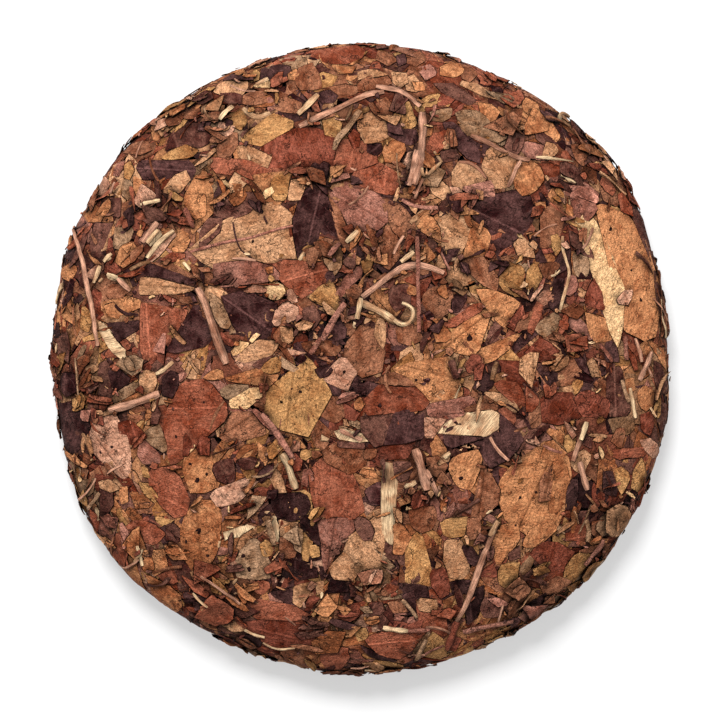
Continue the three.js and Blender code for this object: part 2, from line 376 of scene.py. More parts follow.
leaf("brown", "464,410 470,406 480,402 490,402 498,405 497,410 488,412 478,412 468,414", shade=0.88)
leaf("tan", "484,393 492,392 502,394 510,399 517,405 519,410 515,413 508,408 500,402 490,398")
leaf("russet", "494,384 502,380 512,382 521,388 525,396 525,412 520,410 517,403 509,397 500,391",
     shade=0.9)
leaf("black", "478,390 482,380 486,373 492,377 494,384 490,389 484,392", shade=0.7)
leaf("orange", "450,462 458,455 468,452 478,450 482,458 480,470 475,482 470,490 460,488 454,478 "
     "449,470", shade=0.98)

# More of the top
leaf("maroon", "264,145 267,140 280,135 285,130 295,128 305,128 317,128 325,131 327,135 337,138 "
     "337,142 332,147 329,153 328,158 332,162 333,166 323,168 312,167 300,168 280,168 267,168 265,163 "
     "264,158 272,155", shade=1.1)
leaf("russet", "340,141 352,139 363,141 370,148 376,156 378,163 366,165 352,168 342,176 333,172 "
     "334,163 333,152", shade=0.98)
leaf("russet", "205,158 213,157 220,158 230,159 240,160 250,165 267,168 292,168 290,174 281,177 "
     "270,177 250,177 233,175 220,172 211,165", shade=1.15)
leaf("ochre", "240,139 250,132 260,125 270,117 274,113 280,117 293,121 293,127 285,130 280,135 267,140 "
     "258,145 243,142", shade=1.04)
leaf("ochre", "231,111 238,108 247,117 246,124 241,130 233,126 228,118", shade=0.82)
leaf("black", "225,118 232,120 232,125 226,125", shade=0.6)
leaf("salmon", "217,130 218,122 225,126 235,126 232,134 223,137", shade=1.12)
leaf("umber", "220,93 232,93 243,95 248,101 243,104 230,102 221,100", shade=1.1)
leaf("brown", "243,95 252,91 262,90 268,96 268,102 256,105 243,104")
leaf("tan", "213,91 217,84 222,82 232,77 246,78 248,87 245,90 240,95 228,93", shade=1.1)
leaf("black", "261,67 270,65 280,64 290,66 289,76 284,80 272,80 260,79", shade=0.9)
leaf("ochre", "248,78 256,68 260,72 259,80 250,81")
leaf("cream", "253,85 262,81 268,80 273,82 271,87 260,87")
leaf("russet", "302,57 310,49 325,47 342,47 357,45 365,50 362,58 350,63 327,63 320,57 307,55")
leaf("ochre", "272,180 280,173 290,173 287,185 285,200 275,200 270,188", shade=1.05)
leaf("tan", "291,180 302,180 305,187 300,200 288,200 289,190")
leaf("cream", "262,195 266,189 272,187 274,192 265,199", shade=1.12)
leaf("ochre", "393,115 398,109 402,105 408,101 412,108 415,115 417,122 415,126 407,130 398,128 392,121")
leaf("tan", "358,118 370,112 382,117 390,122 389,137 377,142 365,143 358,130", rib="358,131 388,131")
leaf("black", "390,128 403,130 417,130 418,140 410,145 400,140 390,136")
leaf("orange", "382,152 385,144 393,139 402,143 406,147 402,155 398,163 385,162", shade=0.96)
leaf("black", "367,145 381,143 383,150 377,155 367,152", shade=0.85)
leaf("russet", "360,165 377,161 388,168 399,175 400,180 397,188 393,195 381,193 370,189 360,186 352,175")
leaf("umber", "402,167 412,168 410,178 402,180", shade=1.1)
leaf("russet", "432,133 440,132 452,130 454,135 447,142 441,150 432,158 425,158 425,148 430,140",
     shade=1.05)
leaf("tan", "443,142 452,136 449,148 444,149")
leaf("black", "443,122 453,122 460,129 470,139 477,146 480,163 467,158 457,147 453,133 445,128",
     shade=0.95)
leaf("olive", "455,113 463,110 477,110 487,120 500,128 507,138 500,142 487,138 475,135 467,135 460,125",
     shade=0.96, curl=0.5)
leaf("olive", "440,110 452,108 450,118 443,122 432,120 430,112")
leaf("tan", "482,165 487,150 493,145 507,150 517,162 517,173 512,185 505,188 493,188 488,178")
leaf("tan", "458,162 470,162 480,168 487,178 482,185 470,182 460,190 452,183 452,172", shade=0.92)
leaf("umber", "440,152 457,150 460,158 442,163", shade=0.85)
leaf("tan", "427,180 443,182 453,190 443,200 432,193")
leaf("orange", "423,128 433,128 432,135 423,137")
leaf("brown", "358,84 370,75 387,75 392,83 380,87 358,92", shade=1.15)
leaf("tan", "358,72 377,70 388,75 370,77 358,80")
leaf("tan", "392,72 407,73 408,83 400,88 393,83")
leaf("orange", "412,82 423,82 425,90 415,90", shade=1.15)
leaf("orange", "440,67 450,62 460,63 463,73 453,77 440,75")
leaf("umber", "433,83 453,83 465,90 477,100 472,104 460,100 443,93")
leaf("black", "490,85 502,88 502,97 493,93")
leaf("tan", "462,80 477,83 492,93 498,100 487,97 473,90 460,85", shade=0.95)
leaf("maroon", "422,182 430,183 428,195 423,198", shade=0.9)

# The left of the middle
leaf("salmon", "92,423 97,422 104,417 110,413 117,417 123,427 127,438 130,452 130,472 125,479 120,478 "
     "117,472 112,470 103,463 97,457 90,448 85,442 90,437 93,430", rib="103,446 118,466", shade=1.06)
leaf("black", "55,405 66,403 80,405 85,413 90,422 88,432 80,447 73,457 65,463 61,455 58,438 54,428 "
     "54,413", shade=0.9)
leaf("russet", "183,383 190,380 205,382 212,385 220,395 227,404 228,414 224,422 214,424 206,430 "
     "197,440 188,448 180,462 170,465 167,455 167,438 163,428 163,422 168,410 172,400 178,388",
     shade=1.06)
leaf("orange", "183,462 187,453 195,449 205,450 212,455 212,470 217,487 205,493 190,493 187,480 "
     "182,470", shade=1.04)
leaf("tan", "140,372 147,370 155,373 157,383 153,392 147,393 140,387", shade=1.12)
leaf("black", "162,377 170,370 178,373 178,388 172,398 162,395", shade=0.75)
leaf("orange", "108,408 118,403 128,398 143,392 160,390 158,395 148,400 137,405 120,410", shade=1.08)
leaf("olive", "112,397 127,387 138,380 138,387 130,395 113,403", shade=0.9)
leaf("umber", "98,365 106,360 110,370 108,385 112,400 104,402 98,390", shade=0.9)
leaf("black", "108,372 118,368 130,378 125,390 115,395", shade=0.85)
leaf("tan", "85,357 97,357 98,368 92,373 85,370", shade=0.95)
leaf("olive", "143,435 150,428 160,425 163,438 167,450 162,452 155,447 148,442", shade=0.85)
leaf("mauve", "138,448 145,440 152,447 160,455 160,463 150,462 142,463 138,457")
leaf("russet", "148,470 160,468 172,470 180,480 186,492 190,500 186,515 175,518 160,505 150,490",
     shade=1.12)
leaf("ochre", "141,465 147,468 150,478 143,477")
leaf("ochre", "138,482 145,484 158,498 155,503 145,495")
leaf("orange", "120,487 127,487 128,502 121,504 119,495", shade=1.05)
leaf("umber", "100,490 112,488 113,505 108,513 100,510", shade=0.85)
leaf("olive", "75,485 85,480 95,478 93,492 85,497 77,493", shade=0.85)
leaf("tan", "98,482 110,480 119,488 112,492 100,488")

# The right of the middle
leaf("maroon", "540,400 545,395 560,393 572,392 575,398 582,407 582,417 572,422 558,425 542,422")
leaf("maroon", "575,397 587,390 600,395 610,403 607,418 597,418 583,417", shade=1.04)
leaf("brown", "548,373 558,367 570,358 582,358 582,373 570,385 558,387 547,380", shade=0.96)
leaf("orange", "548,368 555,365 565,358 562,365 553,370")
leaf("ochre", "573,382 582,377 582,387 575,395", shade=1.05)
leaf("tan", "587,363 593,357 598,365 600,377 593,377", shade=0.94)
leaf("umber", "607,370 613,363 620,365 623,380 628,398 630,408 627,417 610,417 608,403 608,385",
     rib="615,365 616,412", shade=1.06)
leaf("olive", "608,420 620,417 633,417 635,428 627,435 613,433", shade=1.08)
leaf("russet", "613,450 627,448 643,447 647,452 640,458 620,460 613,457", shade=0.94)
leaf("russet", "595,438 604,435 613,435 620,442 613,448 602,455 598,448")
leaf("umber", "583,433 593,435 592,448 583,444", shade=1.15)
leaf("black", "603,472 613,472 617,488 617,497 603,492", shade=0.8)
leaf("ochre", "615,470 622,467 630,478 622,495 618,488", shade=1.1)
leaf("ochre", "635,470 642,458 648,477 640,493 632,488")
leaf("black", "570,482 578,478 578,497 575,510 565,510 566,495", shade=0.65)
leaf("orange", "553,462 563,458 567,465 560,482 570,480 565,505 558,512 550,520 552,497 555,475")
leaf("brown", "545,470 553,465 553,475 550,500 538,502 540,482", rib="550,470 544,500")
leaf("ochre", "565,437 570,434 575,435 575,448 568,453 564,445", shade=1.08)
leaf("orange", "545,443 553,440 560,446 567,453 558,460 540,458")
leaf("tan", "520,358 530,352 539,353 536,365 533,375 532,388 529,381 524,375 519,370",
     rib="533,352 532,385")
leaf("russet", "526,386 532,391 539,398 538,405 532,412 526,412", shade=0.95)
leaf("olive", "240,550 243,542 253,538 260,542 262,553 267,557 275,572 273,578 255,579 237,578 233,565 "
     "238,557", shade=1.08)

# The lower left of the middle
leaf("ochre", "260,545 267,540 272,545 272,555 267,557 262,555", shade=1.08)
leaf("brown", "280,537 293,537 298,548 295,557 280,557", shade=0.98)
leaf("black", "275,562 293,560 300,563 317,568 318,577 300,580 282,577", shade=0.85)
leaf("mauve", "317,520 330,523 338,518 353,520 355,530 343,538 340,548 333,557 328,568 325,573 323,565 "
     "322,552 320,537", rib="326,570 334,522", shade=0.98)
leaf("tan", "343,552 350,535 360,533 366,525 374,517 381,516 382,530 382,545 381,560 378,572 370,575 "
     "362,568 352,562 345,560", shade=1.06)
leaf("orange", "284,527 290,525 290,533 285,533", shade=1.15)
leaf("ochre", "300,533 307,532 313,540 310,552 308,562 303,560 301,548", shade=1.08)
leaf("black", "300,518 312,515 318,530 320,545 316,545 310,535 302,530", shade=0.75)
leaf("ochre", "310,545 319,547 318,557 311,557")
leaf("orange", "208,570 215,565 225,563 233,577 218,577", shade=1.08)
leaf("straw", "223,533 233,530 247,526 255,527 250,532 237,537 225,540", curl=0.4)
leaf("tan", "241,536 252,531 257,527 256,533 246,541 240,550 236,548")
leaf("russet", "252,583 258,581 268,582 270,588 263,595 255,593", shade=1.05)
leaf("umber", "222,583 238,582 240,590 228,595")
leaf("black", "270,593 292,588 292,602 275,598", shade=0.75)
leaf("tan", "292,588 300,584 312,583 312,590 303,597 300,608 293,603")
leaf("tan", "315,582 323,581 323,593 317,595", shade=0.9)
leaf("orange", "323,587 332,582 340,588 337,605 328,612 323,605", rib="326,610 334,584")
leaf("maroon", "245,622 267,620 300,622 315,632 315,645 293,648 280,650 267,645 250,632", shade=0.95)
leaf("brown", "280,652 300,650 315,647 315,660 303,665 287,662", shade=1.05)
leaf("russet", "322,648 333,647 348,648 350,657 340,672 327,672 320,662", shade=0.98)
leaf("russet", "240,600 260,600 280,603 295,608 310,615 300,620 270,618 250,615 240,610", shade=0.98)
leaf("umber", "205,605 225,600 245,605 260,612 245,618 225,620 210,615")
leaf("tan", "215,622 228,621 245,625 243,632 233,632 222,627", shade=1.08)
leaf("black", "243,635 255,635 262,643 255,648 245,645", shade=0.75)

# The lower right of the middle
leaf("orange", "393,525 400,523 408,533 412,537 403,545 403,555 393,554", shade=1.06)
leaf("brown", "409,507 434,507 437,520 432,530 420,532 411,525", shade=0.95)
leaf("ochre", "405,547 417,532 423,537 425,548 430,563 432,570 432,587 420,583 405,582 408,565",
     shade=1.04)
leaf("maroon", "432,570 440,565 447,573 450,590 447,595 440,598 433,588", shade=0.98)
leaf("tan", "447,540 460,540 465,548 470,570 462,580 450,578 445,563", shade=0.98)
leaf("ochre", "440,523 453,518 468,517 465,535 452,538 443,535", shade=0.9)
leaf("brown", "468,518 480,518 480,538 467,540", shade=1.05)
leaf("black", "463,545 472,547 480,558 475,567 468,563", shade=0.75)
leaf("black", "474,590 484,585 482,600 478,615 468,625 466,612 472,602", shade=0.5)
leaf("orange", "493,538 502,525 518,525 520,538 510,553 498,567 493,553", shade=1.04)
leaf("umber", "508,555 520,545 520,558 510,560")
leaf("ochre", "498,572 507,563 520,562 518,578 510,590 500,585", shade=0.92)
leaf("black", "400,583 427,587 430,605 420,598 400,595", shade=0.7)
leaf("tan", "417,601 421,598 424,604 432,606 437,600 438,607 434,612 424,612 418,608")
leaf("black", "450,582 470,580 470,595 453,593", shade=0.75)
leaf("umber", "485,597 498,600 505,608 500,617 485,618 480,610")
leaf("mauve", "487,598 498,598 510,605 498,607", shade=1.2)
leaf("brown", "387,602 400,600 408,612 393,613", shade=1.1)
leaf("black", "360,645 370,652 385,658 397,662 390,665 370,658", shade=0.7)
leaf("russet", "365,640 382,632 400,633 427,633 417,648 400,660 380,655",
     rib="367,645 420,641", shade=1.02)
leaf("olive", "430,632 423,648 415,663 413,653 421,640", shade=0.7)
leaf("ochre", "433,632 443,642 447,657 435,659 423,657 426,645", shade=0.94)
leaf("umber", "354,520 362,517 370,522 374,532 372,540 362,539 356,530", shade=1.0)
stem("straw", "263,643 272,648 282,650 295,648", 2.5)
stem("stem", "498,522 483,558 475,582 468,602 457,622", 6)
stem("maroon", "457,622 452,637 447,650", 7)
stem("straw", "383,628 395,630 408,631", 5, shade=1.05)
stem("mauve", "408,631 420,631 430,630", 4)
stem("mauve", "463,632 480,628 497,625 513,622", 5)

# The left of the upper half
stem("mauve", "190,252 210,246 230,241 250,238 265,233 280,228 293,226", 3, shade=1.15)
stem("black", "233,222 235,235 240,250 252,258", 1.6, shade=0.6)
leaf("orange", "185,195 205,195 206,206 206,215 196,220 188,210 184,203", shade=1.1)
leaf("umber", "95,222 113,223 107,237 100,258 92,257 92,237", shade=1.06)
leaf("umber", "107,200 120,198 120,217 110,215", shade=0.98)
leaf("russet", "132,215 143,208 160,207 157,213 140,220", shade=1.05)
leaf("black", "122,213 133,205 138,207 127,218", shade=0.75)
leaf("orange", "160,228 173,229 163,238", shade=1.08)
leaf("orange", "172,248 183,243 190,239 187,247 183,252 173,252", shade=1.12)
leaf("russet", "160,260 172,252 185,253 185,257 173,262")
leaf("brown", "148,262 173,263 190,273 198,278 188,277 170,268", shade=0.92)
leaf("black", "122,272 133,265 143,261 157,265 173,272 188,277 195,282 185,285 170,280 153,273 143,265 "
     "132,268", shade=0.92)
leaf("tan", "140,278 153,278 170,282 187,287 195,288 183,293 163,292 140,295 139,288",
     rib="141,284 194,288", shade=1.06)
leaf("orange", "120,265 133,252 138,250 138,257 123,268", shade=0.98)
leaf("orange", "122,247 133,243 127,253")
leaf("orange", "100,303 115,300 130,297 140,300 140,308 125,305 112,308 115,318 108,318 102,312",
     shade=0.98)
leaf("russet", "140,302 147,312 157,318 180,312 188,310 182,323 173,338 163,337 157,338 153,360 "
     "143,360 140,342", rib="146,306 150,358", shade=1.05)
leaf("straw", "98,322 107,327 115,342 125,350 123,360 115,355 105,342 100,332", curl=0.5, shade=1.0)
leaf("black", "107,323 118,330 130,322 138,320 138,330 125,335 118,342 112,336", shade=0.7)
leaf("black", "62,250 70,242 74,252 75,260 66,258 60,256", shade=0.7)
leaf("black", "51,322 58,323 60,337 52,338", shade=0.7)
leaf("ochre", "82,303 90,312 88,332 80,328", shade=1.05)
stem("mauve", "184,208 188,216 193,228", 5, shade=1.2)
stem("stem", "157,222 150,231 142,242", 6)
stem("straw", "147,243 152,236 158,230", 5, shade=1.05)
stem("straw", "147,258 158,243 168,235 174,231", 5, shade=0.95)
stem("straw", "141,205 150,202 160,200", 4)
stem("straw", "183,263 189,268", 2.6, shade=1.2)
stem("straw", "107,260 111,257", 4, shade=1.2)
stem("straw", "99,282 102,278", 3.5, shade=1.2)
stem("straw", "107,274 117,277 123,281", 4)
stem("black", "115,305 120,312 130,315 138,315", 3.5, shade=0.7)
stem("straw", "50,301 57,292 62,284", 5, shade=0.95)

# The left edge of the upper half
leaf("olive", "115,228 125,222 132,228 130,240 122,250 112,246")
leaf("orange", "120,247 133,242 138,252 130,262 122,266 115,260")
leaf("mauve", "138,240 148,226 158,219 162,224 152,236 143,247")
leaf("straw", "147,243 152,236 158,229 163,233 156,240 150,246")
leaf("salmon", "146,260 154,248 166,236 175,230 176,236 164,248 152,262")
leaf("salmon", "86,274 95,266 104,262 101,272 93,280")
leaf("maroon", "105,264 114,262 121,270 112,276 104,272")
leaf("straw", "106,275 112,274 120,279 116,281 108,278")
leaf("brown", "104,292 112,284 124,284 131,290 122,298 108,298")
leaf("black", "166,351 178,340 188,325 192,308 203,303 213,320 212,340 204,347 190,346 178,353")
leaf("orange", "104,307 113,302 122,312 118,319 108,316")
leaf("russet", "50,296 53,276 60,262 62,276 56,292")
leaf("olive", "50,302 54,293 61,286 63,291 57,299 52,304")
leaf("orange", "80,212 92,204 102,210 100,222 88,222")
leaf("salmon", "96,184 104,176 110,184 104,196 98,194")
leaf("orange", "60,268 70,262 76,270 70,282 62,278")

# The lower middle
leaf("russet", "310,470 325,455 340,455 350,470 360,490 365,510 345,520 322,520 312,500 310,485")
leaf("brown", "322,450 340,440 362,445 366,465 350,475 338,468 325,462")
leaf("orange", "354,402 360,397 365,404 360,411 355,409")
leaf("orange", "185,515 195,500 212,500 222,515 220,540 212,560 205,575 192,575 182,555 180,535",
     rib="196,500 203,574")
leaf("brown", "484,465 492,475 500,490 498,505 478,522 470,520 476,495 480,478", rib="484,466 478,520")
leaf("orange", "500,480 515,462 535,455 550,440 560,445 569,458 572,475 568,490 565,510 556,530 "
     "540,545 520,525 505,520 498,500", rib="556,444 520,524")
leaf("umber", "393,462 410,462 412,476 400,482 394,474")
leaf("brown", "426,458 438,456 448,466 440,478 428,472")
leaf("straw", "385,462 393,463 396,480 395,510 393,545 386,540 384,515 382,490 382,478",
     rib="389,462 389,545")
leaf("black", "402,596 414,590 416,606 408,612")

# The right edge
leaf("orange", "638,392 646,385 655,392 654,406 644,410 638,402")
leaf("maroon", "640,415 650,412 656,424 650,436 642,430")
leaf("orange", "625,380 634,378 636,390 628,394")
leaf("salmon", "640,440 650,438 660,452 654,458 644,450")
leaf("umber", "654,360 662,366 668,384 662,396 655,380")
leaf("brown", "592,522 604,520 608,532 600,540 592,534")
leaf("orange", "640,345 646,340 652,350 648,362 641,358")
leaf("umber", "660,400 668,404 668,424 662,438 658,420")

# The lower edge
leaf("orange", "145,575 155,580 170,587 180,595 182,605 176,613 165,607 156,600 150,588", curl=0.5)
leaf("orange", "113,548 125,556 135,562 146,590 135,585 122,575")
leaf("russet", "122,528 135,520 152,525 165,535 155,545 140,540")
leaf("russet", "152,570 163,563 172,572 178,582 165,583")
leaf("umber", "165,548 180,556 194,575 198,590 186,588 172,566")
leaf("tan", "190,572 198,570 201,580 194,584")
leaf("straw", "268,520 275,516 279,530 277,544 270,538")
leaf("olive", "330,626 342,624 346,632 334,635")
leaf("ochre", "354,630 364,628 368,636 358,642")
leaf("maroon", "448,650 456,636 462,640 456,652")
leaf("orange", "523,545 530,530 545,520 562,520 548,535 532,548")
leaf("maroon", "530,555 545,542 562,545 575,552 568,565 558,575 545,570")
leaf("ochre", "565,575 570,560 585,550 592,558 585,570 575,582 568,590 562,588")
leaf("olive", "534,616 548,604 566,594 574,596 558,606 542,617")
leaf("orange", "520,598 530,590 540,596 534,606 524,606")
leaf("brown", "540,586 556,578 572,582 560,592 546,596")

# Stems, stalks, buds and threads, as routes through photograph pixels with a width in pixels
stem("stem", "299,126 318,117 336,109 352,101 368,94 384,91", 6)
stem("stem", "376,86 392,89 404,93 413,99 420,106", 5)
stem("straw", "298,114 305,108 311,101 318,94", 6)
stem("stem", "422,112 423,130 421,150 419,165 414,185", 8)
stem("stem", "417,150 414,166 409,186", 6)
stem("olive", "360,111 354,120 346,130 338,138 334,150", 6)
stem("stem", "471,135 486,141 500,149 516,157 530,160", 5)
stem("stem", "521,161 516,168 513,178 508,187", 4)
stem("stem", "459,162 468,162 478,168 486,178", 3)
stem("stem", "362,297 375,287 389,276 402,267 416,264 430,267 444,273", 6)
stem("straw", "361,302 372,307 384,313 391,318 396,322", 7)
stem("straw", "394,320 400,325 407,325 413,319 414,311 410,305 402,303", 4)
stem("straw", "361,298 359,308 357,319", 5)
stem("straw", "346,242 352,237 358,231", 5)
stem("straw", "299,260 302,256 304,252", 4)
stem("mauve", "417,236 418,262 418,290 419,318 419,332", 4)
stem("stem", "197,288 204,302 211,322 217,342 226,364", 8)
stem("mauve", "345,303 337,314 330,326 322,340", 6)
stem("mauve", "340,243 334,249 329,256", 5)
stem("stem", "73,227 77,244 82,262 86,282 91,304 94,324 97,346", 5)
stem("stem", "118,279 124,286 130,291", 5)
stem("straw", "233,106 226,112 220,120", 5)
stem("straw", "243,108 250,114 258,118 270,113", 5)
stem("straw", "256,84 264,80 268,78", 4)
stem("stem", "415,449 420,462 424,476 427,490", 8)
stem("stem", "426,470 432,482 438,496", 5)
stem("straw", "405,488 410,485 416,482", 5)
stem("straw", "444,458 450,453", 5)
stem("stem", "109,410 124,406 142,400 159,393", 7)
stem("straw", "156,374 162,372 168,366 173,362", 4)
stem("straw", "137,546 140,556 142,566", 4)
stem("straw", "143,550 138,557 134,562", 3)
stem("stem", "586,423 582,436 577,448 573,461", 5)
stem("straw", "587,422 584,432 581,440", 5)
stem("straw", "630,388 633,402 636,418", 4)
stem("olive", "622,380 625,392 629,402", 4)
stem("stem", "580,462 584,476 588,490", 6)
stem("straw", "498,521 494,528 490,536", 5)
stem("olive", "402,600 410,608 417,618", 4)
stem("olive", "416,660 421,650 426,640", 5)
stem("stem", "201,576 216,586 230,596 240,604", 3)
stem("olive", "268,520 272,532 275,545", 6)
stem("olive", "86,510 93,502 99,493", 4)
stem("mauve", "586,566 592,558 599,548 604,540", 6)
stem("olive", "586,520 590,530 588,542", 5)
stem("stem", "640,380 646,366 652,352", 5)
stem("mauve", "625,336 626,348 627,360", 5)
stem("stem", "636,338 640,350 642,362", 4)
stem("mauve", "600,344 606,352 612,362", 4)
stem("straw", "434,151 438,157 442,162", 3)
stem("straw", "441,162 435,168 430,172 427,177 421,175 422,168", 3)
stem("straw", "563,236 562,248 566,260 570,272 566,288 562,302 560,312", 3)
stem("straw", "551,276 556,277 560,270", 2)
stem("olive", "497,362 494,372 492,380", 5)
stem("umber", "452,360 454,372 458,378", 7)
stem("straw", "62,287 56,295 50,303", 5)
stem("straw", "100,266 97,275 94,283", 4)
stem("straw", "104,262 108,257 112,254", 4)
stem("straw", "183,262 187,266 190,270", 3)
stem("olive", "150,262 140,264 130,270", 4)
stem("stem", "404,236 398,244 394,254", 3)
stem("mauve", "320,338 316,346 310,354", 5)
stem("mauve", "438,208 426,208 412,206 402,200", 4)
stem("straw", "401,262 407,257 414,252", 5)
stem("stem", "362,440 352,436 340,430", 4)


# Dark spots in the larger leaves, and holes in them, laid as near-black scraps; in the holes the black is
# painted shade
spots("470,338 197,480 198,531", 2.6)
spots("611,229 249,570 503,333 461,478 380,405 432,480 243,556", 1.8)
spots("253,241 262,211 344,372 352,388 300,392 281,402 416,380 536,492 520,498 552,470 516,525", 1.1)
spots("208,556 186,542 207,474 190,464 112,447 100,452 176,437 204,402 641,300 632,270", 1.1)

# Reading the frame

def outer_surface():
    """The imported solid's surface, in millimetres, as something to cast rays at."""
    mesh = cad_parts[CAKE].data
    points = [vertex.co / MM for vertex in mesh.vertices]
    faces = [tuple(face.vertices) for face in mesh.polygons]
    return BVHTree.FromPolygons(points, faces)


SURFACE = outer_surface()


def section_grid():
    """Points of the surface in rings from the crown to the dimple, seen from a point inside."""
    inner = Vector((0.0, 0.0, INNER_POINT_HEIGHT))
    grid = np.zeros((STEPS + 1, TURNS, 3))
    for step in range(STEPS + 1):
        tilt = math.pi * step / STEPS
        for turn in range(TURNS):
            angle = TAU * turn / TURNS
            sideways = math.sin(tilt)
            out = Vector((sideways * math.cos(angle), sideways * math.sin(angle), math.cos(tilt)))
            grid[step, turn] = SURFACE.ray_cast(inner, out)[0]
    ends = grid[[0, -1]].copy()
    for _ in range(2):
        grid = (np.roll(grid, 1, 1) + 2 * grid + np.roll(grid, -1, 1)) / 4
        grid[1:-1] = (grid[:-2] + 2 * grid[1:-1] + grid[2:]) / 4
        grid[[0, -1]] = ends
    return grid


class Chart:
    """One side of the cake spread flat. A place on it is (x, y), its direction from the middle and
    its distance along the surface."""

    def __init__(self, rings, reach):
        gaps = np.linalg.norm(np.diff(rings, axis=0), axis=2)
        along = np.vstack([np.zeros(TURNS), np.cumsum(gaps, axis=0)])
        stops = np.arange(0, reach + SKIN_SPACING, SKIN_SPACING)
        self.reach = reach
        self.points = np.zeros((len(stops), TURNS, 3))
        for turn in range(TURNS):
            for axis in range(3):
                self.points[:, turn, axis] = np.interp(stops, along[:, turn], rings[:, turn, axis])
        outward = np.gradient(self.points, axis=0)
        round_about = np.roll(self.points, -1, 1) - np.roll(self.points, 1, 1)
        normals = np.cross(outward, round_about)
        normals[0] = normals[3].mean(0)
        normals[1] = normals[3]
        normals[2] = normals[3]
        normals /= np.linalg.norm(normals, axis=2, keepdims=True)
        for _ in range(2):
            normals = (np.roll(normals, 1, 1) + 2 * normals + np.roll(normals, -1, 1)) / 4
            normals[1:-1] = (normals[:-2] + 2 * normals[1:-1] + normals[2:]) / 4
        if (normals[:, :, 2] * np.sign(self.points[0, 0, 2] - INNER_POINT_HEIGHT))[0].mean() < 0:
            normals = -normals
        self.normals = normals / np.linalg.norm(normals, axis=2, keepdims=True)
        radii = np.hypot(self.points[:, :, 0], self.points[:, :, 1]).mean(1)
        self.roundness = np.where(stops > 5, radii / np.maximum(stops, 1), 1.0)

    def sample(self, table, x, y):
        step = np.clip(np.hypot(x, y) / SKIN_SPACING, 0, len(table) - 1.001)
        turn = np.arctan2(y, x) / TAU * TURNS % TURNS
        low, first = np.floor(step).astype(int), np.floor(turn).astype(int) % TURNS
        second = (first + 1) % TURNS
        up, on = (step - low)[..., None], (turn - np.floor(turn))[..., None]
        near = table[low, first] * (1 - on) + table[low, second] * on
        far = table[low + 1, first] * (1 - on) + table[low + 1, second] * on
        return near * (1 - up) + far * up

    def place(self, x, y, height):
        """The point that stands height above the skin at (x, y)."""
        return self.sample(self.points, x, y) + self.sample(self.normals, x, y) * height[..., None]

    def widening(self, x, y):
        """How much wider round the cake a shape is drawn on the chart than it is on the skin."""
        return 1 / np.interp(np.hypot(x, y), np.arange(len(self.roundness)) * SKIN_SPACING, self.roundness)

    def find(self, point):
        """The place on the chart of a point of the skin."""
        angle = math.atan2(point[1], point[0])
        column = self.points[:, int(round(angle / TAU * TURNS)) % TURNS]
        nearest = np.linalg.norm(column - np.array(point), axis=1).argmin()
        before, after = column[max(nearest - 1, 0)], column[min(nearest + 1, len(column) - 1)]
        span = after - before
        share = np.dot(np.array(point) - before, span) / max(np.dot(span, span), 1e-9)
        along = (max(nearest - 1, 0) + 2 * min(max(share, 0), 1)) * SKIN_SPACING
        return along * math.cos(angle), along * math.sin(angle)


GRID = section_grid()
CROWN = Chart(GRID, CROWN_REACH)
DIMPLE = Chart(GRID[::-1], DIMPLE_REACH)


# The photograph's camera

def camera_place():
    back = (0.0, -math.cos(CAMERA_ELEVATION), math.sin(CAMERA_ELEVATION))
    return Vector(CAMERA_TARGET) + Vector(back) * CAMERA_DISTANCE


def under_pixel(px, py):
    """The place on the crown's chart that the photograph shows at a pixel."""
    eye = camera_place()
    focal = CAMERA_LENS / SENSOR * FRAME_PIXELS
    ahead = (Vector(CAMERA_TARGET) - eye).normalized()
    right = Vector((1.0, 0.0, 0.0))
    up = right.cross(ahead)
    middle = FRAME_PIXELS / 2
    for shrink in np.arange(1, 0.8, -0.004):
        dx, dy = (px - middle) * shrink, (middle - py) * shrink
        hit = SURFACE.ray_cast(eye, (ahead * focal + right * dx + up * dy).normalized())[0]
        if hit:
            return CROWN.find(hit)
    raise ValueError(f"pixel {px}, {py} is off the cake")


def read_points(text):
    return [tuple(float(number) for number in pair.split(",")) for pair in text.split()]


def on_crown(text):
    return np.array([under_pixel(px, py) for px, py in read_points(text)])


PIXEL = CAMERA_DISTANCE / (CAMERA_LENS / SENSOR * FRAME_PIXELS) # its size on the cake


# The pile

def box_blur(values, reach):
    """Values evened out twice over squares that reach this many cells each way."""
    if reach < 1:
        return values
    for _ in range(2):
        for axis in (0, 1):
            pad = [(0, 0), (0, 0)]
            pad[axis] = (reach + 1, reach)
            sums = np.cumsum(np.pad(values, pad, mode="edge"), axis=axis, dtype=np.float64)
            size = values.shape[axis]
            high = np.take(sums, range(2 * reach + 1, 2 * reach + 1 + size), axis=axis)
            low = np.take(sums, range(size), axis=axis)
            values = (high - low) / (2 * reach + 1)
    return values


def highest_near(values, reach):
    """The highest value within this many cells each way."""
    for axis in (0, 1):
        best = values
        for shift in range(1, reach + 1):
            for way in (shift, -shift):
                best = np.maximum(best, np.roll(values, way, axis))
        values = best
    return values


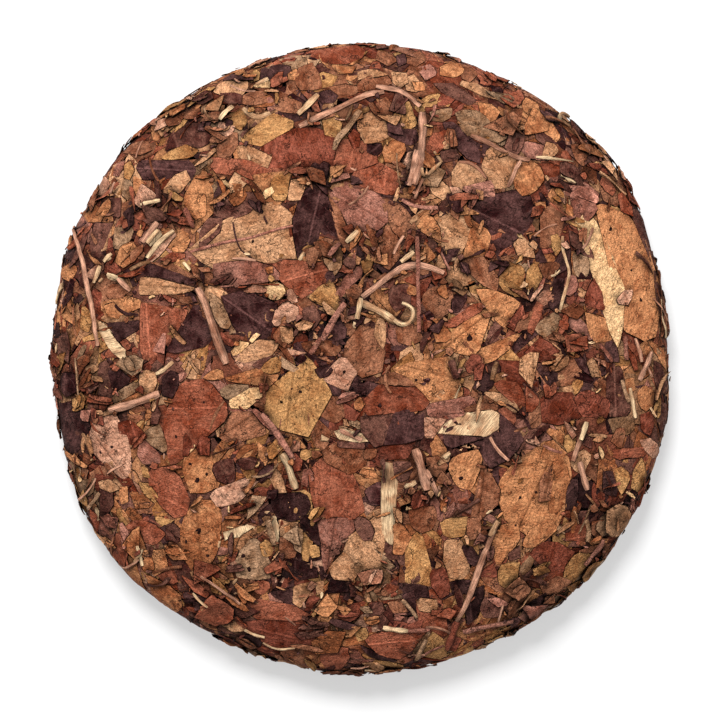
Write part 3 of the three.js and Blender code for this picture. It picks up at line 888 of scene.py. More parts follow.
class Pile:
    """How high the leaves lie on one side of the cake, in cells over its chart."""

    def __init__(self, chart):
        self.chart = chart
        self.count = int(2 * (chart.reach + 6) / CELL)
        self.height = np.zeros((self.count, self.count))
        self.kept = np.zeros((self.count, self.count), bool) # cells of leaves read from the photograph
        self.level = None
        self.brows = None
        self.pieces = []

    def cell(self, value):
        return value / CELL + self.count / 2

    def window(self, points, margin):
        low = np.floor(self.cell(points.min(0)) - margin).astype(int)
        high = np.ceil(self.cell(points.max(0)) + margin).astype(int) + 1
        low = np.clip(low, 0, self.count - 8)
        high = np.clip(high, low + 8, self.count)
        area = np.s_[low[0]:high[0], low[1]:high[1]]
        x = (np.arange(low[0], high[0]) - self.count / 2) * CELL
        y = (np.arange(low[1], high[1]) - self.count / 2) * CELL
        return area, low, x[:, None], y[None, :]

    def read(self, values, low, x, y):
        """Values of a window at places on the chart."""
        column = np.clip(self.cell(x) - low[0], 0, values.shape[0] - 1.001)
        row = np.clip(self.cell(y) - low[1], 0, values.shape[1] - 1.001)
        i, j = column.astype(int), row.astype(int)
        u, v = column - i, row - j
        first = values[i, j] * (1 - v) + values[i, j + 1] * v
        second = values[i + 1, j] * (1 - v) + values[i + 1, j + 1] * v
        return first * (1 - u) + second * u

    def press(self, share):
        """Presses everything laid so far, so that this share of its relief is left."""
        level = box_blur(self.height, int(LEVEL_REACH / CELL / 2))
        self.height = level + share * (self.height - level)
        for piece in self.pieces:
            here = self.read(level, (0, 0), piece.x, piece.y)
            piece.height = here + share * (piece.height - here)
            area, mask, top = piece.cells
            piece.cells = area, mask, level[area] + share * (top - level[area])

    def settle(self):
        """Finds the level that the whole pile is pressed to, and what overlooks each place, from which the
        painted shade of crevices is taken.
        """
        self.level = box_blur(self.height, int(LEVEL_REACH / CELL / 2))
        self.brows = box_blur(highest_near(self.height, 2), 1)

    def pressed(self, x, y, height):
        """Height above the skin, once pressed, of something that lay this high in the pile."""
        above = PRESSED_TO * (height - self.read(self.level, (0, 0), x, y)) - SUNK
        skin_height = self.chart.sample(self.chart.points, x, y)[..., 2]
        free = np.clip(skin_height / FREE_HEIGHT, 0, 1)
        free = free * free * (3 - 2 * free)
        most = MOST_RELIEF * free
        softness = 0.12 + 0.16 * free
        return most - softness * np.logaddexp(0, (most - above) / softness)

    def painted_crevice_shade(self, x, y, height):
        """Painted shade: how much of its colour something this high in the pile keeps, as if only that share
        of the light reached it.
        """
        below = np.maximum(self.read(self.brows, (0, 0), x, y) - height - CREVICE_SHADE_START, 0)
        return np.exp(-CREVICE_SHADE_RATE * below)


# Shapes of leaves

def turned(points, angle):
    points = np.array(points)
    x = points[:, 0] * math.cos(angle) - points[:, 1] * math.sin(angle)
    y = points[:, 0] * math.sin(angle) + points[:, 1] * math.cos(angle)
    return np.stack([x, y], 1)


def leaf_corners(length, width, rng):
    """A piece of a pointed leaf, torn straight across in one to three places."""
    angles = np.arange(18) / 18 * TAU + rng.uniform(-0.1, 0.1, 18)
    power = rng.uniform(1.05, 1.6)
    across = np.abs(np.cos(angles) / (length / 2)) ** power + np.abs(np.sin(angles) / (width / 2)) ** power
    radii = across ** (-1 / power)
    for _ in range(rng.integers(1, 4)):
        facing = rng.uniform(0, TAU)
        reach = np.hypot(length / 2 * math.cos(facing), width / 2 * math.sin(facing))
        reach *= rng.uniform(0.3, 0.85)
        toward = np.cos(angles - facing)
        radii = np.where(toward > 0.05, np.minimum(radii, reach / np.maximum(toward, 0.05)), radii)
    return np.stack([radii * np.cos(angles), radii * np.sin(angles)], 1)


def scrap_corners(length, width, rng):
    """A torn scrap with a few nearly straight sides and sharp corners, some of its sides notched."""
    count = rng.integers(3, 7)
    angles = (np.arange(count) + rng.uniform(-0.42, 0.42, count)) / count * TAU
    reach = rng.uniform(0.75, 1.3, count) * (1.15 if count < 5 else 1.0)
    tips = [reach[i] * np.array([math.cos(angles[i]), math.sin(angles[i])]) for i in range(count)]
    corners = []
    for i, here in enumerate(tips):
        after = tips[(i + 1) % count]
        corners.append(here)
        if rng.uniform() < 0.4:
            share = rng.uniform(0.25, 0.75)
            corners.append((here + (after - here) * share) * rng.uniform(0.6, 0.95))
    return np.array(corners) * [length / 2, width / 2]


def sliver_corners(length, width, rng):
    """A long, thin scrap, slightly bent and narrower at its ends."""
    along = np.linspace(-0.5, 0.5, 5)
    tapers = np.array([
        rng.uniform(0.1, 0.8), rng.uniform(0.6, 1), 1.0, rng.uniform(0.6, 1), rng.uniform(0.1, 0.7),
    ])
    bow = rng.normal(0, 0.25) * width * (1 - (along * 2) ** 2)
    lower = np.stack([along * length, bow - width / 2 * tapers], 1)
    upper = np.stack([along * length, bow + width / 2 * tapers], 1)[::-1]
    return np.concatenate([lower, upper])


def middle_of(corners):
    """The middle of an outline's area, and the outline turned to run anticlockwise."""
    ahead = np.roll(corners, -1, 0)
    cross = corners[:, 0] * ahead[:, 1] - ahead[:, 0] * corners[:, 1]
    area = cross.sum() / 2
    middle = ((corners + ahead) * cross[:, None]).sum(0) / (6 * area)
    return middle, corners if area > 0 else corners[::-1]


def torn(corners, rng, spacing, roughness):
    """The outline through corners. Some of its sides are nearly smooth and others are torn."""
    edge = []
    for start, end in zip(corners, np.roll(corners, -1, 0)):
        span = end - start
        length = np.hypot(*span)
        count = max(int(round(length / spacing)), 1)
        share = np.arange(count) / count
        outward = np.array([span[1], -span[0]]) / max(length, 1e-6)
        away = rng.normal(0, 1, count) * roughness * rng.choice([0.3, 1.0, 1.7])
        away += rng.normal(0, 0.04) * length * np.sin(math.pi * share)
        away[0] *= 0.3
        away = np.clip(away, -0.3 * length, 0.3 * length)
        edge.append(start + span * share[:, None] + outward * away[:, None])
    return np.concatenate(edge)


def inside_outline(edge, x, y):
    inside = np.zeros(np.broadcast(x, y).shape, bool)
    for start, end in zip(edge, np.roll(edge, -1, 0)):
        if start[1] == end[1]:
            continue
        crossing = (start[1] > y) != (end[1] > y)
        inside ^= crossing & (x < (end[0] - start[0]) * (y - start[1]) / (end[1] - start[1]) + start[0])
    return inside


def edge_distance(points, edge):
    """How far points are from an outline."""
    spans = np.roll(edge, -1, 0) - edge
    sizes = np.maximum((spans ** 2).sum(1), 1e-9)
    gaps = points[:, None] - edge[None]
    share = np.clip((gaps * spans).sum(2) / sizes, 0, 1)
    return np.sqrt(((gaps - share[..., None] * spans) ** 2).sum(2)).min(1)


def filled_outline(edge, spacing, rng):
    """Points inside an outline and triangles between them and the outline's own, or nothing when
    the outline crosses itself."""
    low, high = edge.min(0), edge.max(0)
    rows = []
    for number, y in enumerate(np.arange(low[1] + spacing * 0.4, high[1], spacing * 0.87)):
        x = np.arange(low[0] + spacing * (0.3 + 0.5 * (number % 2)), high[0], spacing)
        rows.append(np.stack([x, np.full(len(x), y)], 1))
    points = np.zeros((0, 2))
    if rows:
        points = np.concatenate(rows)
        points += rng.uniform(-0.15, 0.15, points.shape) * spacing
        points = points[inside_outline(edge, points[:, 0], points[:, 1])]
    if len(points):
        points = points[edge_distance(points, edge) > spacing * 0.5]
    every = np.concatenate([edge, points])
    corners = [Vector(point) for point in every]
    outline = list(range(len(edge)))
    made = delaunay_2d_cdt(corners, [], [outline], 1, 1e-6, True)
    if len(made[0]) != len(every):
        return None
    origins = np.array([ids[0] for ids in made[3]])
    faces = origins[np.array(made[2], int)]
    first, second, third = (every[faces[:, corner]] for corner in range(3))
    ahead, back = second - first, third - first
    flipped = ahead[:, 0] * back[:, 1] < ahead[:, 1] * back[:, 0]
    faces[flipped] = faces[flipped][:, ::-1]
    return every, faces


class LeafForm:
    """The way one leaf bends out of the surface that it lies on."""

    def __init__(self, rng, size, curl, crumple, axis=None, fold=0.0, twist=0.0):
        self.size = size
        self.curl = curl
        self.side = rng.uniform(0, TAU)
        self.axis = rng.uniform(0, TAU) if axis is None else axis
        self.fold = fold
        self.twist = twist
        self.slope = rng.normal(0, 0.035, 2)
        self.waves = []
        for _ in range(3):
            length = rng.uniform(2.4, 8.0)
            turn = rng.uniform(0, TAU)
            swing = rng.uniform(0.3, 1.0) * crumple * min(length / 6, 1)
            phase = rng.uniform(0, TAU)
            self.waves.append((TAU / length * math.cos(turn), TAU / length * math.sin(turn), phase, swing))
        self.creases = []
        for _ in range(rng.integers(0, 3) + int(crumple * size / 2)):
            turn = rng.uniform(0, TAU)
            away = rng.uniform(-0.5, 0.5) * size
            rise = rng.choice([-1, 1]) * rng.uniform(0.5, 1.0) * (0.1 + crumple)
            self.creases.append((math.cos(turn), math.sin(turn), away, rise, rng.uniform(0.4, 1.0)))

    def toward_side(self, x, y):
        """0 in the middle, 1 at the edge that curls up and 0 again on the far side."""
        toward = (x * math.cos(self.side) + y * math.sin(self.side)) / self.size
        return np.clip(toward, 0, 1.3) ** 3

    def lift(self, x, y):
        along = x * math.cos(self.axis) + y * math.sin(self.axis)
        across = -x * math.sin(self.axis) + y * math.cos(self.axis)
        rise = self.curl * self.toward_side(x, y) + self.slope[0] * x + self.slope[1] * y
        rise = rise + self.fold * np.minimum(np.abs(across), 2.5) + self.twist * along * across / self.size
        for wave_x, wave_y, phase, swing in self.waves:
            rise = rise + swing * np.sin(wave_x * x + wave_y * y + phase)
        for across_x, across_y, away, crest, width in self.creases:
            rise = rise + crest * np.exp(-np.abs(across_x * x + across_y * y - away) / width)
        return rise


class Piece:
    """One leaf or stem: where it lies on its pile, its faces, its looks and the cells it tops."""

    def __init__(self, kind, pile, x, y, height, loose, faces, inner, look, cells):
        self.kind = kind
        self.pile, self.x, self.y, self.height, self.loose = pile, x, y, height, loose
        self.faces, self.inner, self.look, self.cells = faces, inner, look, cells

    def shows(self):
        """Whether any of it is left uncovered, as far as the pile's cells tell."""
        area, mask, top = self.cells
        if mask.sum() < SHOWING_CELLS:
            return True
        bare = top[mask] > self.pile.height[area][mask] - SHOWING_DEPTH
        return bare.sum() > min(SHOWING_CELLS, SHOWING_SHARE * mask.sum())


def stretcher(pile, middle):
    """How lengths on the skin round a place turn into lengths on the chart, and back."""
    middle = np.array(middle)
    away = max(np.hypot(*middle), 1e-6)
    factor = float(pile.chart.widening(*middle)) if away > 30 else 1.0
    out = middle / away
    side = np.array([-out[1], out[0]])

    def stretched(x, y, back=False):
        outward, sideways = x * out[0] + y * out[1], x * side[0] + y * side[1]
        sideways = sideways / factor if back else sideways * factor
        return outward * out[0] + sideways * side[0], outward * out[1] + sideways * side[1]

    return stretched


def lay_leaf(pile, kind, middle, edge, form, rng, thickness=0.36, spacing=1.5, rib=None, ribbed=0.3,
             keep=False, tint=None, free=0.0):
    """Lays one leaf on the pile and keeps its mesh. Its edge is given about its middle, unstretched.
    Says whether that could be done."""
    stretched = stretcher(pile, middle)
    wide = np.stack(stretched(edge[:, 0], edge[:, 1]), 1) + middle
    if np.hypot(wide[:, 0], wide[:, 1]).max() > pile.chart.reach:
        return True
    made = filled_outline(edge, spacing, rng)
    if made is None:
        return False
    area, low, cell_x, cell_y = pile.window(wide, 4)
    mask = inside_outline(wide, cell_x, cell_y)
    heights = pile.height[area]
    size = np.hypot(edge[:, 0], edge[:, 1]).max()
    support = box_blur(highest_near(heights, 1), int(np.clip(size / 5, 1, 3)))
    support = np.maximum(support, heights - DRAPE_CUT)
    support = box_blur(support, 1)
    local_x, local_y = stretched(cell_x - middle[0], cell_y - middle[1], back=True)
    top = np.maximum(support + thickness + form.lift(local_x, local_y), heights)
    pile.height[area] = np.where(mask, top, heights)
    if keep:
        pile.kept[area] |= mask

    points, faces = made
    x, y = points[:, 0], points[:, 1]
    ahead = np.roll(edge, -1, 0) - np.roll(edge, 1, 0)
    lengths = np.maximum(np.hypot(ahead[:, 0], ahead[:, 1]), 1e-6)
    outward = np.stack([ahead[:, 1], -ahead[:, 0]], 1) / lengths[:, None]
    lower = points.copy()
    bearing = np.arctan2(outward[:, 1], outward[:, 0])
    uneven = 0.55 + 0.45 * np.sin(bearing * rng.integers(1, 3) + rng.uniform(0, TAU))
    # The underside flares out past the top and is painted near black: a thin painted shadow round the leaf
    lower[:len(edge)] += outward * (EDGE_FLARE * uneven * rng.uniform(0.4, 1.3, len(edge)))[:, None]
    every = np.concatenate([points, lower])
    chart_x, chart_y = stretched(every[:, 0], every[:, 1])
    chart_x, chart_y = chart_x + middle[0], chart_y + middle[1]
    height = pile.read(support, low, chart_x[:len(x)], chart_y[:len(x)]) + thickness + form.lift(x, y)
    height[:len(edge)] += rng.normal(0.03, EDGE_JITTER, len(edge))
    loose = free * form.toward_side(x, y)
    turn = form.axis
    if rib is None:
        start = rng.uniform(-0.6, 0.6, 2) * size
    else:
        start = rib[0]
    grain_x = (x - start[0]) * math.cos(turn) + (y - start[1]) * math.sin(turn)
    grain_y = -(x - start[0]) * math.sin(turn) + (y - start[1]) * math.cos(turn)
    bright, warm = tint if tint else (rng.normal(1.0, 0.13), rng.uniform(0, 1))
    count, around = len(points), len(edge)
    look = np.ones((2 * count, 4)) * [np.clip(bright, 0.5, 1.4), warm, ribbed, 0]
    # 1 on the top and 0 on the flared underside and walls, which the material paints near black as shadow
    look[:count, 3] = 1
    inner = np.stack([grain_x, grain_y, np.full(count, rng.uniform(0, 400))], 1)
    inner_lower = inner.copy()
    flare_x, flare_y = (lower - points).T
    inner_lower[:, 0] += flare_x * math.cos(turn) + flare_y * math.sin(turn)
    inner_lower[:, 1] += -flare_x * math.sin(turn) + flare_y * math.cos(turn)
    i = np.arange(around)
    j = (i + 1) % around
    walls = [np.stack([i + count, j + count, j], 1), np.stack([i + count, j, i], 1)]
    every_face = np.concatenate([faces[:, ::-1] + count, *walls, faces]) # the top last, so its bake stays
    under = height - thickness
    under[:around] += thickness * 0.5
    pile.pieces.append(Piece(
        kind, pile, chart_x, chart_y, np.concatenate([height, under]),
        np.tile(loose, 2), every_face, np.concatenate([inner, inner_lower]), look, (area, mask, top),
    ))
    return True


def lay_torn(pile, kind, corners, form, rng, edge_spacing, roughness, **options):
    """Lays the leaf with these corners, given on the skin, with its edge torn as far as it can be."""
    middle, corners = middle_of(corners)
    for share in (1, 0.5, 0.2, 0):
        edge = torn(corners - middle, rng, edge_spacing, roughness * share)
        if lay_leaf(pile, kind, middle, edge, form, rng, **options):
            return
    print("left out a", kind, "leaf that crosses itself near", middle.round(), len(corners))


def lay_stem(pile, kind, route, width, rng, sides=10, flat=0.55, twist=0.0, free=0.0, bright=None):
    """Lays a stem, or a twisted shred when it is flat, along a route over the chart, half sunk in
    what it crosses."""
    route = np.array(route)
    steps = np.concatenate([[0], np.cumsum(np.linalg.norm(np.diff(route, axis=0), axis=1))])
    length = steps[-1]
    count = max(int(length / 0.9), 4)
    at = np.linspace(0, length, count)
    x, y = np.interp(at, steps, route[:, 0]), np.interp(at, steps, route[:, 1])
    for _ in range(3):
        x[1:-1] = (x[:-2] + 2 * x[1:-1] + x[2:]) / 4
        y[1:-1] = (y[:-2] + 2 * y[1:-1] + y[2:]) / 4
    if np.hypot(x, y).max() > pile.chart.reach - 1:
        return
    share = np.linspace(0, 1, count)
    radius = width / 2 * (1 + 0.12 * np.sin(share * rng.uniform(4, 12) + rng.uniform(0, TAU)))
    radius *= np.minimum(1, STEM_END + (1 - STEM_END) * np.minimum(share, 1 - share) * 8)
    ahead_x, ahead_y = np.gradient(x), np.gradient(y)
    size = np.maximum(np.hypot(ahead_x, ahead_y), 1e-6)
    side_x, side_y = -ahead_y / size, ahead_x / size
    area, low, cell_x, cell_y = pile.window(np.stack([x, y], 1), 4 + width / CELL)
    heights = pile.height[area]
    under = pile.read(box_blur(highest_near(heights, 1), 1), low, x, y)
    for _ in range(6):
        under[1:-1] = np.maximum(under[1:-1], (under[:-2] + under[2:]) / 2 - 0.05)
    turning = rng.uniform(0, TAU) * (twist > 0) + twist * TAU * share
    tallest = np.maximum(np.abs(np.sin(turning)), flat)
    centre = under + radius * 0.3 * tallest
    top = heights
    for i in range(count):
        away = np.hypot(cell_x - x[i], cell_y - y[i])
        dome = centre[i] + np.sqrt(np.maximum(radius[i] ** 2 - away ** 2, 0)) * tallest[i]
        top = np.where(away < radius[i], np.maximum(top, dome), top)
    mask = top > heights
    pile.height[area] = top

    turn = np.arange(sides) / sides * TAU
    groove = 1 + 0.14 * np.cos(3 * turn + rng.uniform(0, TAU))
    groove += 0.08 * np.cos(5 * turn + rng.uniform(0, TAU))
    wide = radius[:, None] * groove * np.cos(turn)
    thick = radius[:, None] * groove * np.sin(turn) * flat
    across = (wide * np.cos(turning)[:, None] - thick * np.sin(turning)[:, None]).ravel()
    upward = (wide * np.sin(turning)[:, None] + thick * np.cos(turning)[:, None]).ravel()
    all_x = np.concatenate([np.repeat(x, sides) + np.repeat(side_x, sides) * across, [x[0], x[-1]]])
    all_y = np.concatenate([np.repeat(y, sides) + np.repeat(side_y, sides) * across, [y[0], y[-1]]])
    height = np.concatenate([np.repeat(centre, sides) + upward, [centre[0], centre[-1]]])
    loose = free * np.concatenate([np.repeat(share, sides), [0, 1]]) ** 2
    faces = []
    i = np.arange(sides)
    j = (i + 1) % sides
    for ring in range(count - 1):
        near, far = ring * sides, (ring + 1) * sides
        faces.append(np.stack([near + i, far + j, far + i], 1))
        faces.append(np.stack([near + i, near + j, far + j], 1))
    start, end = count * sides, count * sides + 1
    faces.append(np.stack([np.full(sides, start), j, i], 1))
    faces.append(np.stack([np.full(sides, end), (count - 1) * sides + i, (count - 1) * sides + j], 1))
    along = np.concatenate([np.repeat(at, sides), [0, length]])
    around = np.concatenate([np.tile(turn, count) * width / 2, [0, 0]])
    inner = np.stack([along, around, np.full(len(along), rng.uniform(0, 400))], 1)
    look = np.ones((len(along), 4)) * [bright or rng.normal(1, 0.1), rng.uniform(0, 1), 0.6, 1.0]
    pile.pieces.append(Piece(kind, pile, all_x, all_y, height, loose, np.concatenate(faces), inner, look,
                            (area, mask, top)))


# Scattering

def pick(shares, rng):
    names = list(shares)
    weights = np.array([shares[name] for name in names], float)
    return names[rng.choice(len(names), p=weights / weights.sum())]


def lowest_of(pile, rng, tries, inside, outside):
    """The place where the pile is lowest, of a few tried at random over a ring of the chart."""
    distance = np.sqrt(rng.uniform(inside ** 2, outside ** 2, tries))
    angle = rng.uniform(0, TAU, tries)
    x, y = distance * np.cos(angle), distance * np.sin(angle)
    best = pile.read(pile.height, (0, 0), x, y).argmin()
    return np.array([x[best], y[best]])


def on_photo_leaf(pile, place):
    return pile.kept[tuple(np.clip(pile.cell(place), 0, pile.count - 1).astype(int))]


SHAPES = {"leaf": leaf_corners, "scrap": scrap_corners, "sliver": sliver_corners}
SLIMNESS = {"leaf": (1.2, 2.4), "scrap": (1.0, 2.4), "sliver": (3.0, 6.5)} # length over width
BED_SHAPES = {"leaf": 2, "scrap": 1}
FILL_SHAPES = {"leaf": 2, "scrap": 6, "sliver": 3}
SHRED_SHAPES = {"scrap": 4, "sliver": 4}


def scatter(pile, rng, count, lengths, shares, shapes, inside, outside, tries=5, thickness=0.34, shun=0.0,
            round_rim=False, free=0.0, sameness=1, tilt=0.1, detail=1.0):
    """Lays this many torn pieces over the ring of the chart between inside and outside. With sameness,
    they come in bunches of up to that many alike, side by side. Shun is how often a piece that would
    land on a leaf read from the photograph is left out."""
    laid = 0
    while laid < count:
        place = lowest_of(pile, rng, tries, inside, outside)
        if on_photo_leaf(pile, place) and rng.uniform() < shun:
            laid += 1
            continue
        kind = pick(shares, rng)
        turn = rng.uniform(0, TAU)
        if round_rim:
            turn = math.atan2(place[1], place[0]) + TAU / 4 + rng.normal(0, 0.4)
        bunch = rng.integers(1, sameness + 1)
        for number in range(bunch):
            shape = pick(shapes, rng)
            length = lengths[0] + (lengths[1] - lengths[0]) * rng.uniform() ** 1.6
            length = max(length, lengths[0] * 1.5) if shape == "sliver" else length
            width = length / rng.uniform(*SLIMNESS[shape])
            heading = turn + rng.normal(0, 0.2)
            corners = turned(SHAPES[shape](length, width, rng), heading)
            slim = shape == "sliver"
            form = LeafForm(rng, length / 2, curl=rng.normal(0.1, SCRAP_CURL),
                            crumple=CRUMPLE.get(kind, SCRAP_CRUMPLE), axis=heading,
                            fold=rng.normal(0, 3 * tilt if slim else tilt),
                            twist=rng.normal(0, 2 * tilt if slim else tilt))
            if slim:
                away = (number - (bunch - 1) / 2) * width * 0.9
            else:
                away = rng.normal(0, 0.3) * length * (number > 0)
            spot = place + away * np.array([-math.sin(heading), math.cos(heading)])
            fine = max(0.55, length / 16) / detail
            lay_torn(pile, kind, spot + corners, form, rng, edge_spacing=fine, roughness=0.08 + 0.02 * width,
                     thickness=thickness * rng.uniform(0.6, 1.5), spacing=max(1.0, length / 8) / detail,
                     ribbed=rng.uniform(0, 0.7), free=free * rng.uniform() ** 2)
        laid += bunch


def scatter_stems(pile, rng, count, lengths, widths, inside, outside, kinds, flat=0.6, twist=0.0, shun=0.8,
                  round_rim=False, free=0.0):
    for _ in range(count):
        place = lowest_of(pile, rng, 3, inside, outside)
        if on_photo_leaf(pile, place) and rng.uniform() < shun:
            continue
        length, width = rng.uniform(*lengths), rng.uniform(*widths)
        heading, bend = rng.uniform(0, TAU), rng.normal(0, 0.6) / length
        if round_rim:
            heading = math.atan2(place[1], place[0]) + TAU / 4 + rng.normal(0, 0.5)
        route = [place]
        for _ in range(8):
            heading += bend * length / 8
            route.append(route[-1] + length / 8 * np.array([math.cos(heading), math.sin(heading)]))
        lay_stem(pile, pick(kinds, rng), route, width, rng, sides=8 if width > 0.9 else 6, flat=flat,
                 twist=twist * rng.uniform(0.3, 1), free=free * rng.uniform() ** 2)


def lay_photo_leaves(pile, rng):
    """The leaves read from the photograph, the widest first and the curled ones last."""
    drawn = []
    for entry in photo_leaves:
        corners = on_crown(entry["outline"])
        drawn.append((np.ptp(corners, axis=0).max(), entry, corners))
    drawn.sort(key=lambda item: (item[1]["curl"] > CURLED, -item[0]))
    for size, entry, corners in drawn:
        kind = entry["kind"]
        middle, corners = middle_of(corners)
        stretched = stretcher(pile, middle)
        corners = np.stack(stretched(*(corners - middle).T, back=True), 1)
        rib = axis = None
        if entry["rib"]:
            rib = np.stack(stretched(*(on_crown(entry["rib"]) - middle).T, back=True), 1)
            axis = math.atan2(*(rib[1] - rib[0])[::-1])
        curl = entry["curl"] if entry["curl"] else rng.normal(0.1, 0.15)
        form = LeafForm(rng, size / 2, curl, CRUMPLE.get(kind, PHOTO_LEAF_CRUMPLE), axis,
                        fold=rng.normal(0, 0.03), twist=rng.normal(0, 0.03))
        lay_torn(pile, kind, corners + middle, form, rng,
                 edge_spacing=0.5 + size / 90, roughness=0.1 + size * 0.006,
                 spacing=float(np.clip(size / 14, 0.9, 1.8)), rib=rib,
                 ribbed=0.9 if rib is not None else rng.uniform(0.1, 0.6), keep=True,
                 tint=(rng.normal(1.0, 0.04) * entry["shade"], rng.uniform(0.2, 0.7)))


def lay_photo_spots(pile, rng):
    """Small round scraps, nearly black and very thin: dark spots, and painted shade where they stand for
    holes.
    """
    for entry in photo_spots:
        for place in on_crown(entry["text"]):
            angles = np.arange(8) / 8 * TAU
            radii = entry["radius"] * PIXEL * rng.uniform(0.6, 1.3, 8)
            edge = np.stack([radii * np.cos(angles), radii * np.sin(angles)], 1)
            form = LeafForm(rng, size=1, curl=0, crumple=0.0)
            form.creases = []
            lay_leaf(pile, "black", place, edge, form, rng, thickness=0.06, spacing=0.6, tint=(0.5, 0.9))


def lay_photo_stems(pile, rng):
    for entry in photo_stems:
        route = on_crown(entry["route"])
        lay_stem(pile, entry["kind"], route, entry["width"] * PIXEL, rng, bright=entry["shade"])


STEM_SHARES = {"stem": 5, "straw": 2, "mauve": 2, "olive": 2, "brown": 3}
SHRED_SHARES = {
    "brown": 5, "umber": 3, "black": 2, "russet": 4, "orange": 4, "mauve": 2, "tan": 3, "straw": 2,
}
FLECK_SHARES = {"cream": 3, "straw": 3, "salmon": 3, "tan": 2, "stem": 2}
RIM_SHARES = {
    "brown": 20, "russet": 16, "orange": 13, "maroon": 9, "tan": 7, "ochre": 6, "umber": 9, "mauve": 5,
    "black": 5, "salmon": 3, "olive": 4,
}


def build_crown(rng):
    """The crown, the rim and the rounded side under it, in layers from the bed up."""
    pile = Pile(CROWN)
    edge = CROWN_REACH - 5
    scatter(pile, rng, count=420, lengths=(9, 22), shares=BED_SHARES, shapes=BED_SHAPES,
            inside=0, outside=RIM_START, tries=8, detail=BED_DETAIL)
    scatter(pile, rng, count=420, lengths=(8, 20), shares=BED_SHARES, shapes=BED_SHAPES,
            inside=RIM_START, outside=edge, tries=8, round_rim=True, detail=BED_DETAIL)
    pile.press(CROWN_BED_PRESS)
    scatter(pile, rng, count=620, lengths=(6, 17), shares=FILL_SHARES, shapes=FILL_SHAPES,
            inside=0, outside=RIM_START + 6, tries=6, detail=FILL_DETAIL)
    scatter(pile, rng, count=800, lengths=(6, 20), shares=RIM_SHARES, shapes=FILL_SHAPES,
            inside=RIM_START, outside=edge, tries=6, round_rim=True, tilt=0.04, detail=FILL_DETAIL)
    scatter(pile, rng, count=500, lengths=(4, 11), shares=FILL_SHARES, shapes=SHRED_SHAPES,
            inside=0, outside=RIM_START, tries=6, sameness=3, detail=SCRAP_DETAIL)
    pile.press(CROWN_FILL_PRESS)
    lay_photo_leaves(pile, rng)
    pile.press(CROWN_PHOTO_PRESS)
    scatter(pile, rng, count=520, lengths=(3, 9), shares=FILL_SHARES, shapes=SHRED_SHAPES,
            inside=0, outside=RIM_START + 4, tries=8, shun=1.0, sameness=2)
    scatter(pile, rng, count=900, lengths=(3, 12), shares=RIM_SHARES, shapes=SHRED_SHAPES,
            inside=RIM_START, outside=edge, tries=6, shun=0.95, round_rim=True, free=0.5, sameness=3)
    scatter_stems(pile, rng, count=60, lengths=(4, 11), widths=(0.7, 1.7), kinds=SHRED_SHARES,
                  inside=0, outside=RIM_START + 8, flat=0.25, twist=0.6, shun=1.0)
    scatter_stems(pile, rng, count=90, lengths=(4, 13), widths=(0.8, 1.7), kinds=SHRED_SHARES,
                  inside=RIM_START, outside=edge - 4, flat=0.25, twist=0.6, shun=0.9, round_rim=True,
                  free=0.6)
    scatter_stems(pile, rng, count=40, lengths=(4, 12), widths=(0.4, 1.0), kinds=STEM_SHARES,
                  inside=0, outside=RIM_START + 8, shun=0.9)
    scatter_stems(pile, rng, count=50, lengths=(4, 12), widths=(0.5, 1.0), kinds=STEM_SHARES,
                  inside=RIM_START, outside=edge - 4, round_rim=True, free=0.6)
    lay_photo_stems(pile, rng)
    lay_photo_spots(pile, rng)
    scatter(pile, rng, count=150, lengths=(1.2, 4.0), shares=FLECK_SHARES, shapes={"scrap": 1, "sliver": 2},
            inside=0, outside=edge - 4, tries=4, shun=0.9, thickness=0.2)
    scatter(pile, rng, count=800, lengths=(0.9, 2.8), shares=FILL_SHARES, shapes={"scrap": 3, "sliver": 1},
            inside=0, outside=edge, tries=4, shun=0.95)
    pile.settle()
    return pile


def build_dimple(rng):
    """The underside, from the dimple over the foot to halfway up the rim."""
    pile = Pile(DIMPLE)
    edge = DIMPLE_REACH - 8
    scatter(pile, rng, count=300, lengths=(10, 24), shares=BED_SHARES, shapes=BED_SHAPES,
            inside=0, outside=edge, tries=8, detail=BED_DETAIL)
    pile.press(DIMPLE_BED_PRESS)
    scatter(pile, rng, count=560, lengths=(6, 26), shares=FILL_SHARES, shapes=FILL_SHAPES,
            inside=0, outside=edge, tries=6, detail=FILL_DETAIL)
    pile.press(DIMPLE_FILL_PRESS)
    scatter(pile, rng, count=420, lengths=(3, 10), shares=FILL_SHARES, shapes=SHRED_SHAPES,
            inside=0, outside=edge, tries=6, sameness=3)
    scatter_stems(pile, rng, count=50, lengths=(8, 26), widths=(0.8, 1.7), kinds=STEM_SHARES,
                  inside=0, outside=DIMPLE_REACH - 20)
    scatter(pile, rng, count=300, lengths=(0.9, 4), shares=FILL_SHARES, shapes={"scrap": 1},
            inside=0, outside=edge, tries=4)
    pile.settle()
    return pile


# Materials

def linear(tone):
    """A tone of the photograph, 0 to 255, as the colour of the surface."""
    channels = []
    for value in tone:
        share = value / 255
        channel = share / 12.92 if share <= 0.04045 else ((share + 0.055) / 1.055) ** 2.4
        channels.append(min(max(channel - HAZE, 0.12 * channel) / LIGHT_GAIN, 1.0))
    return (*channels, 1.0)


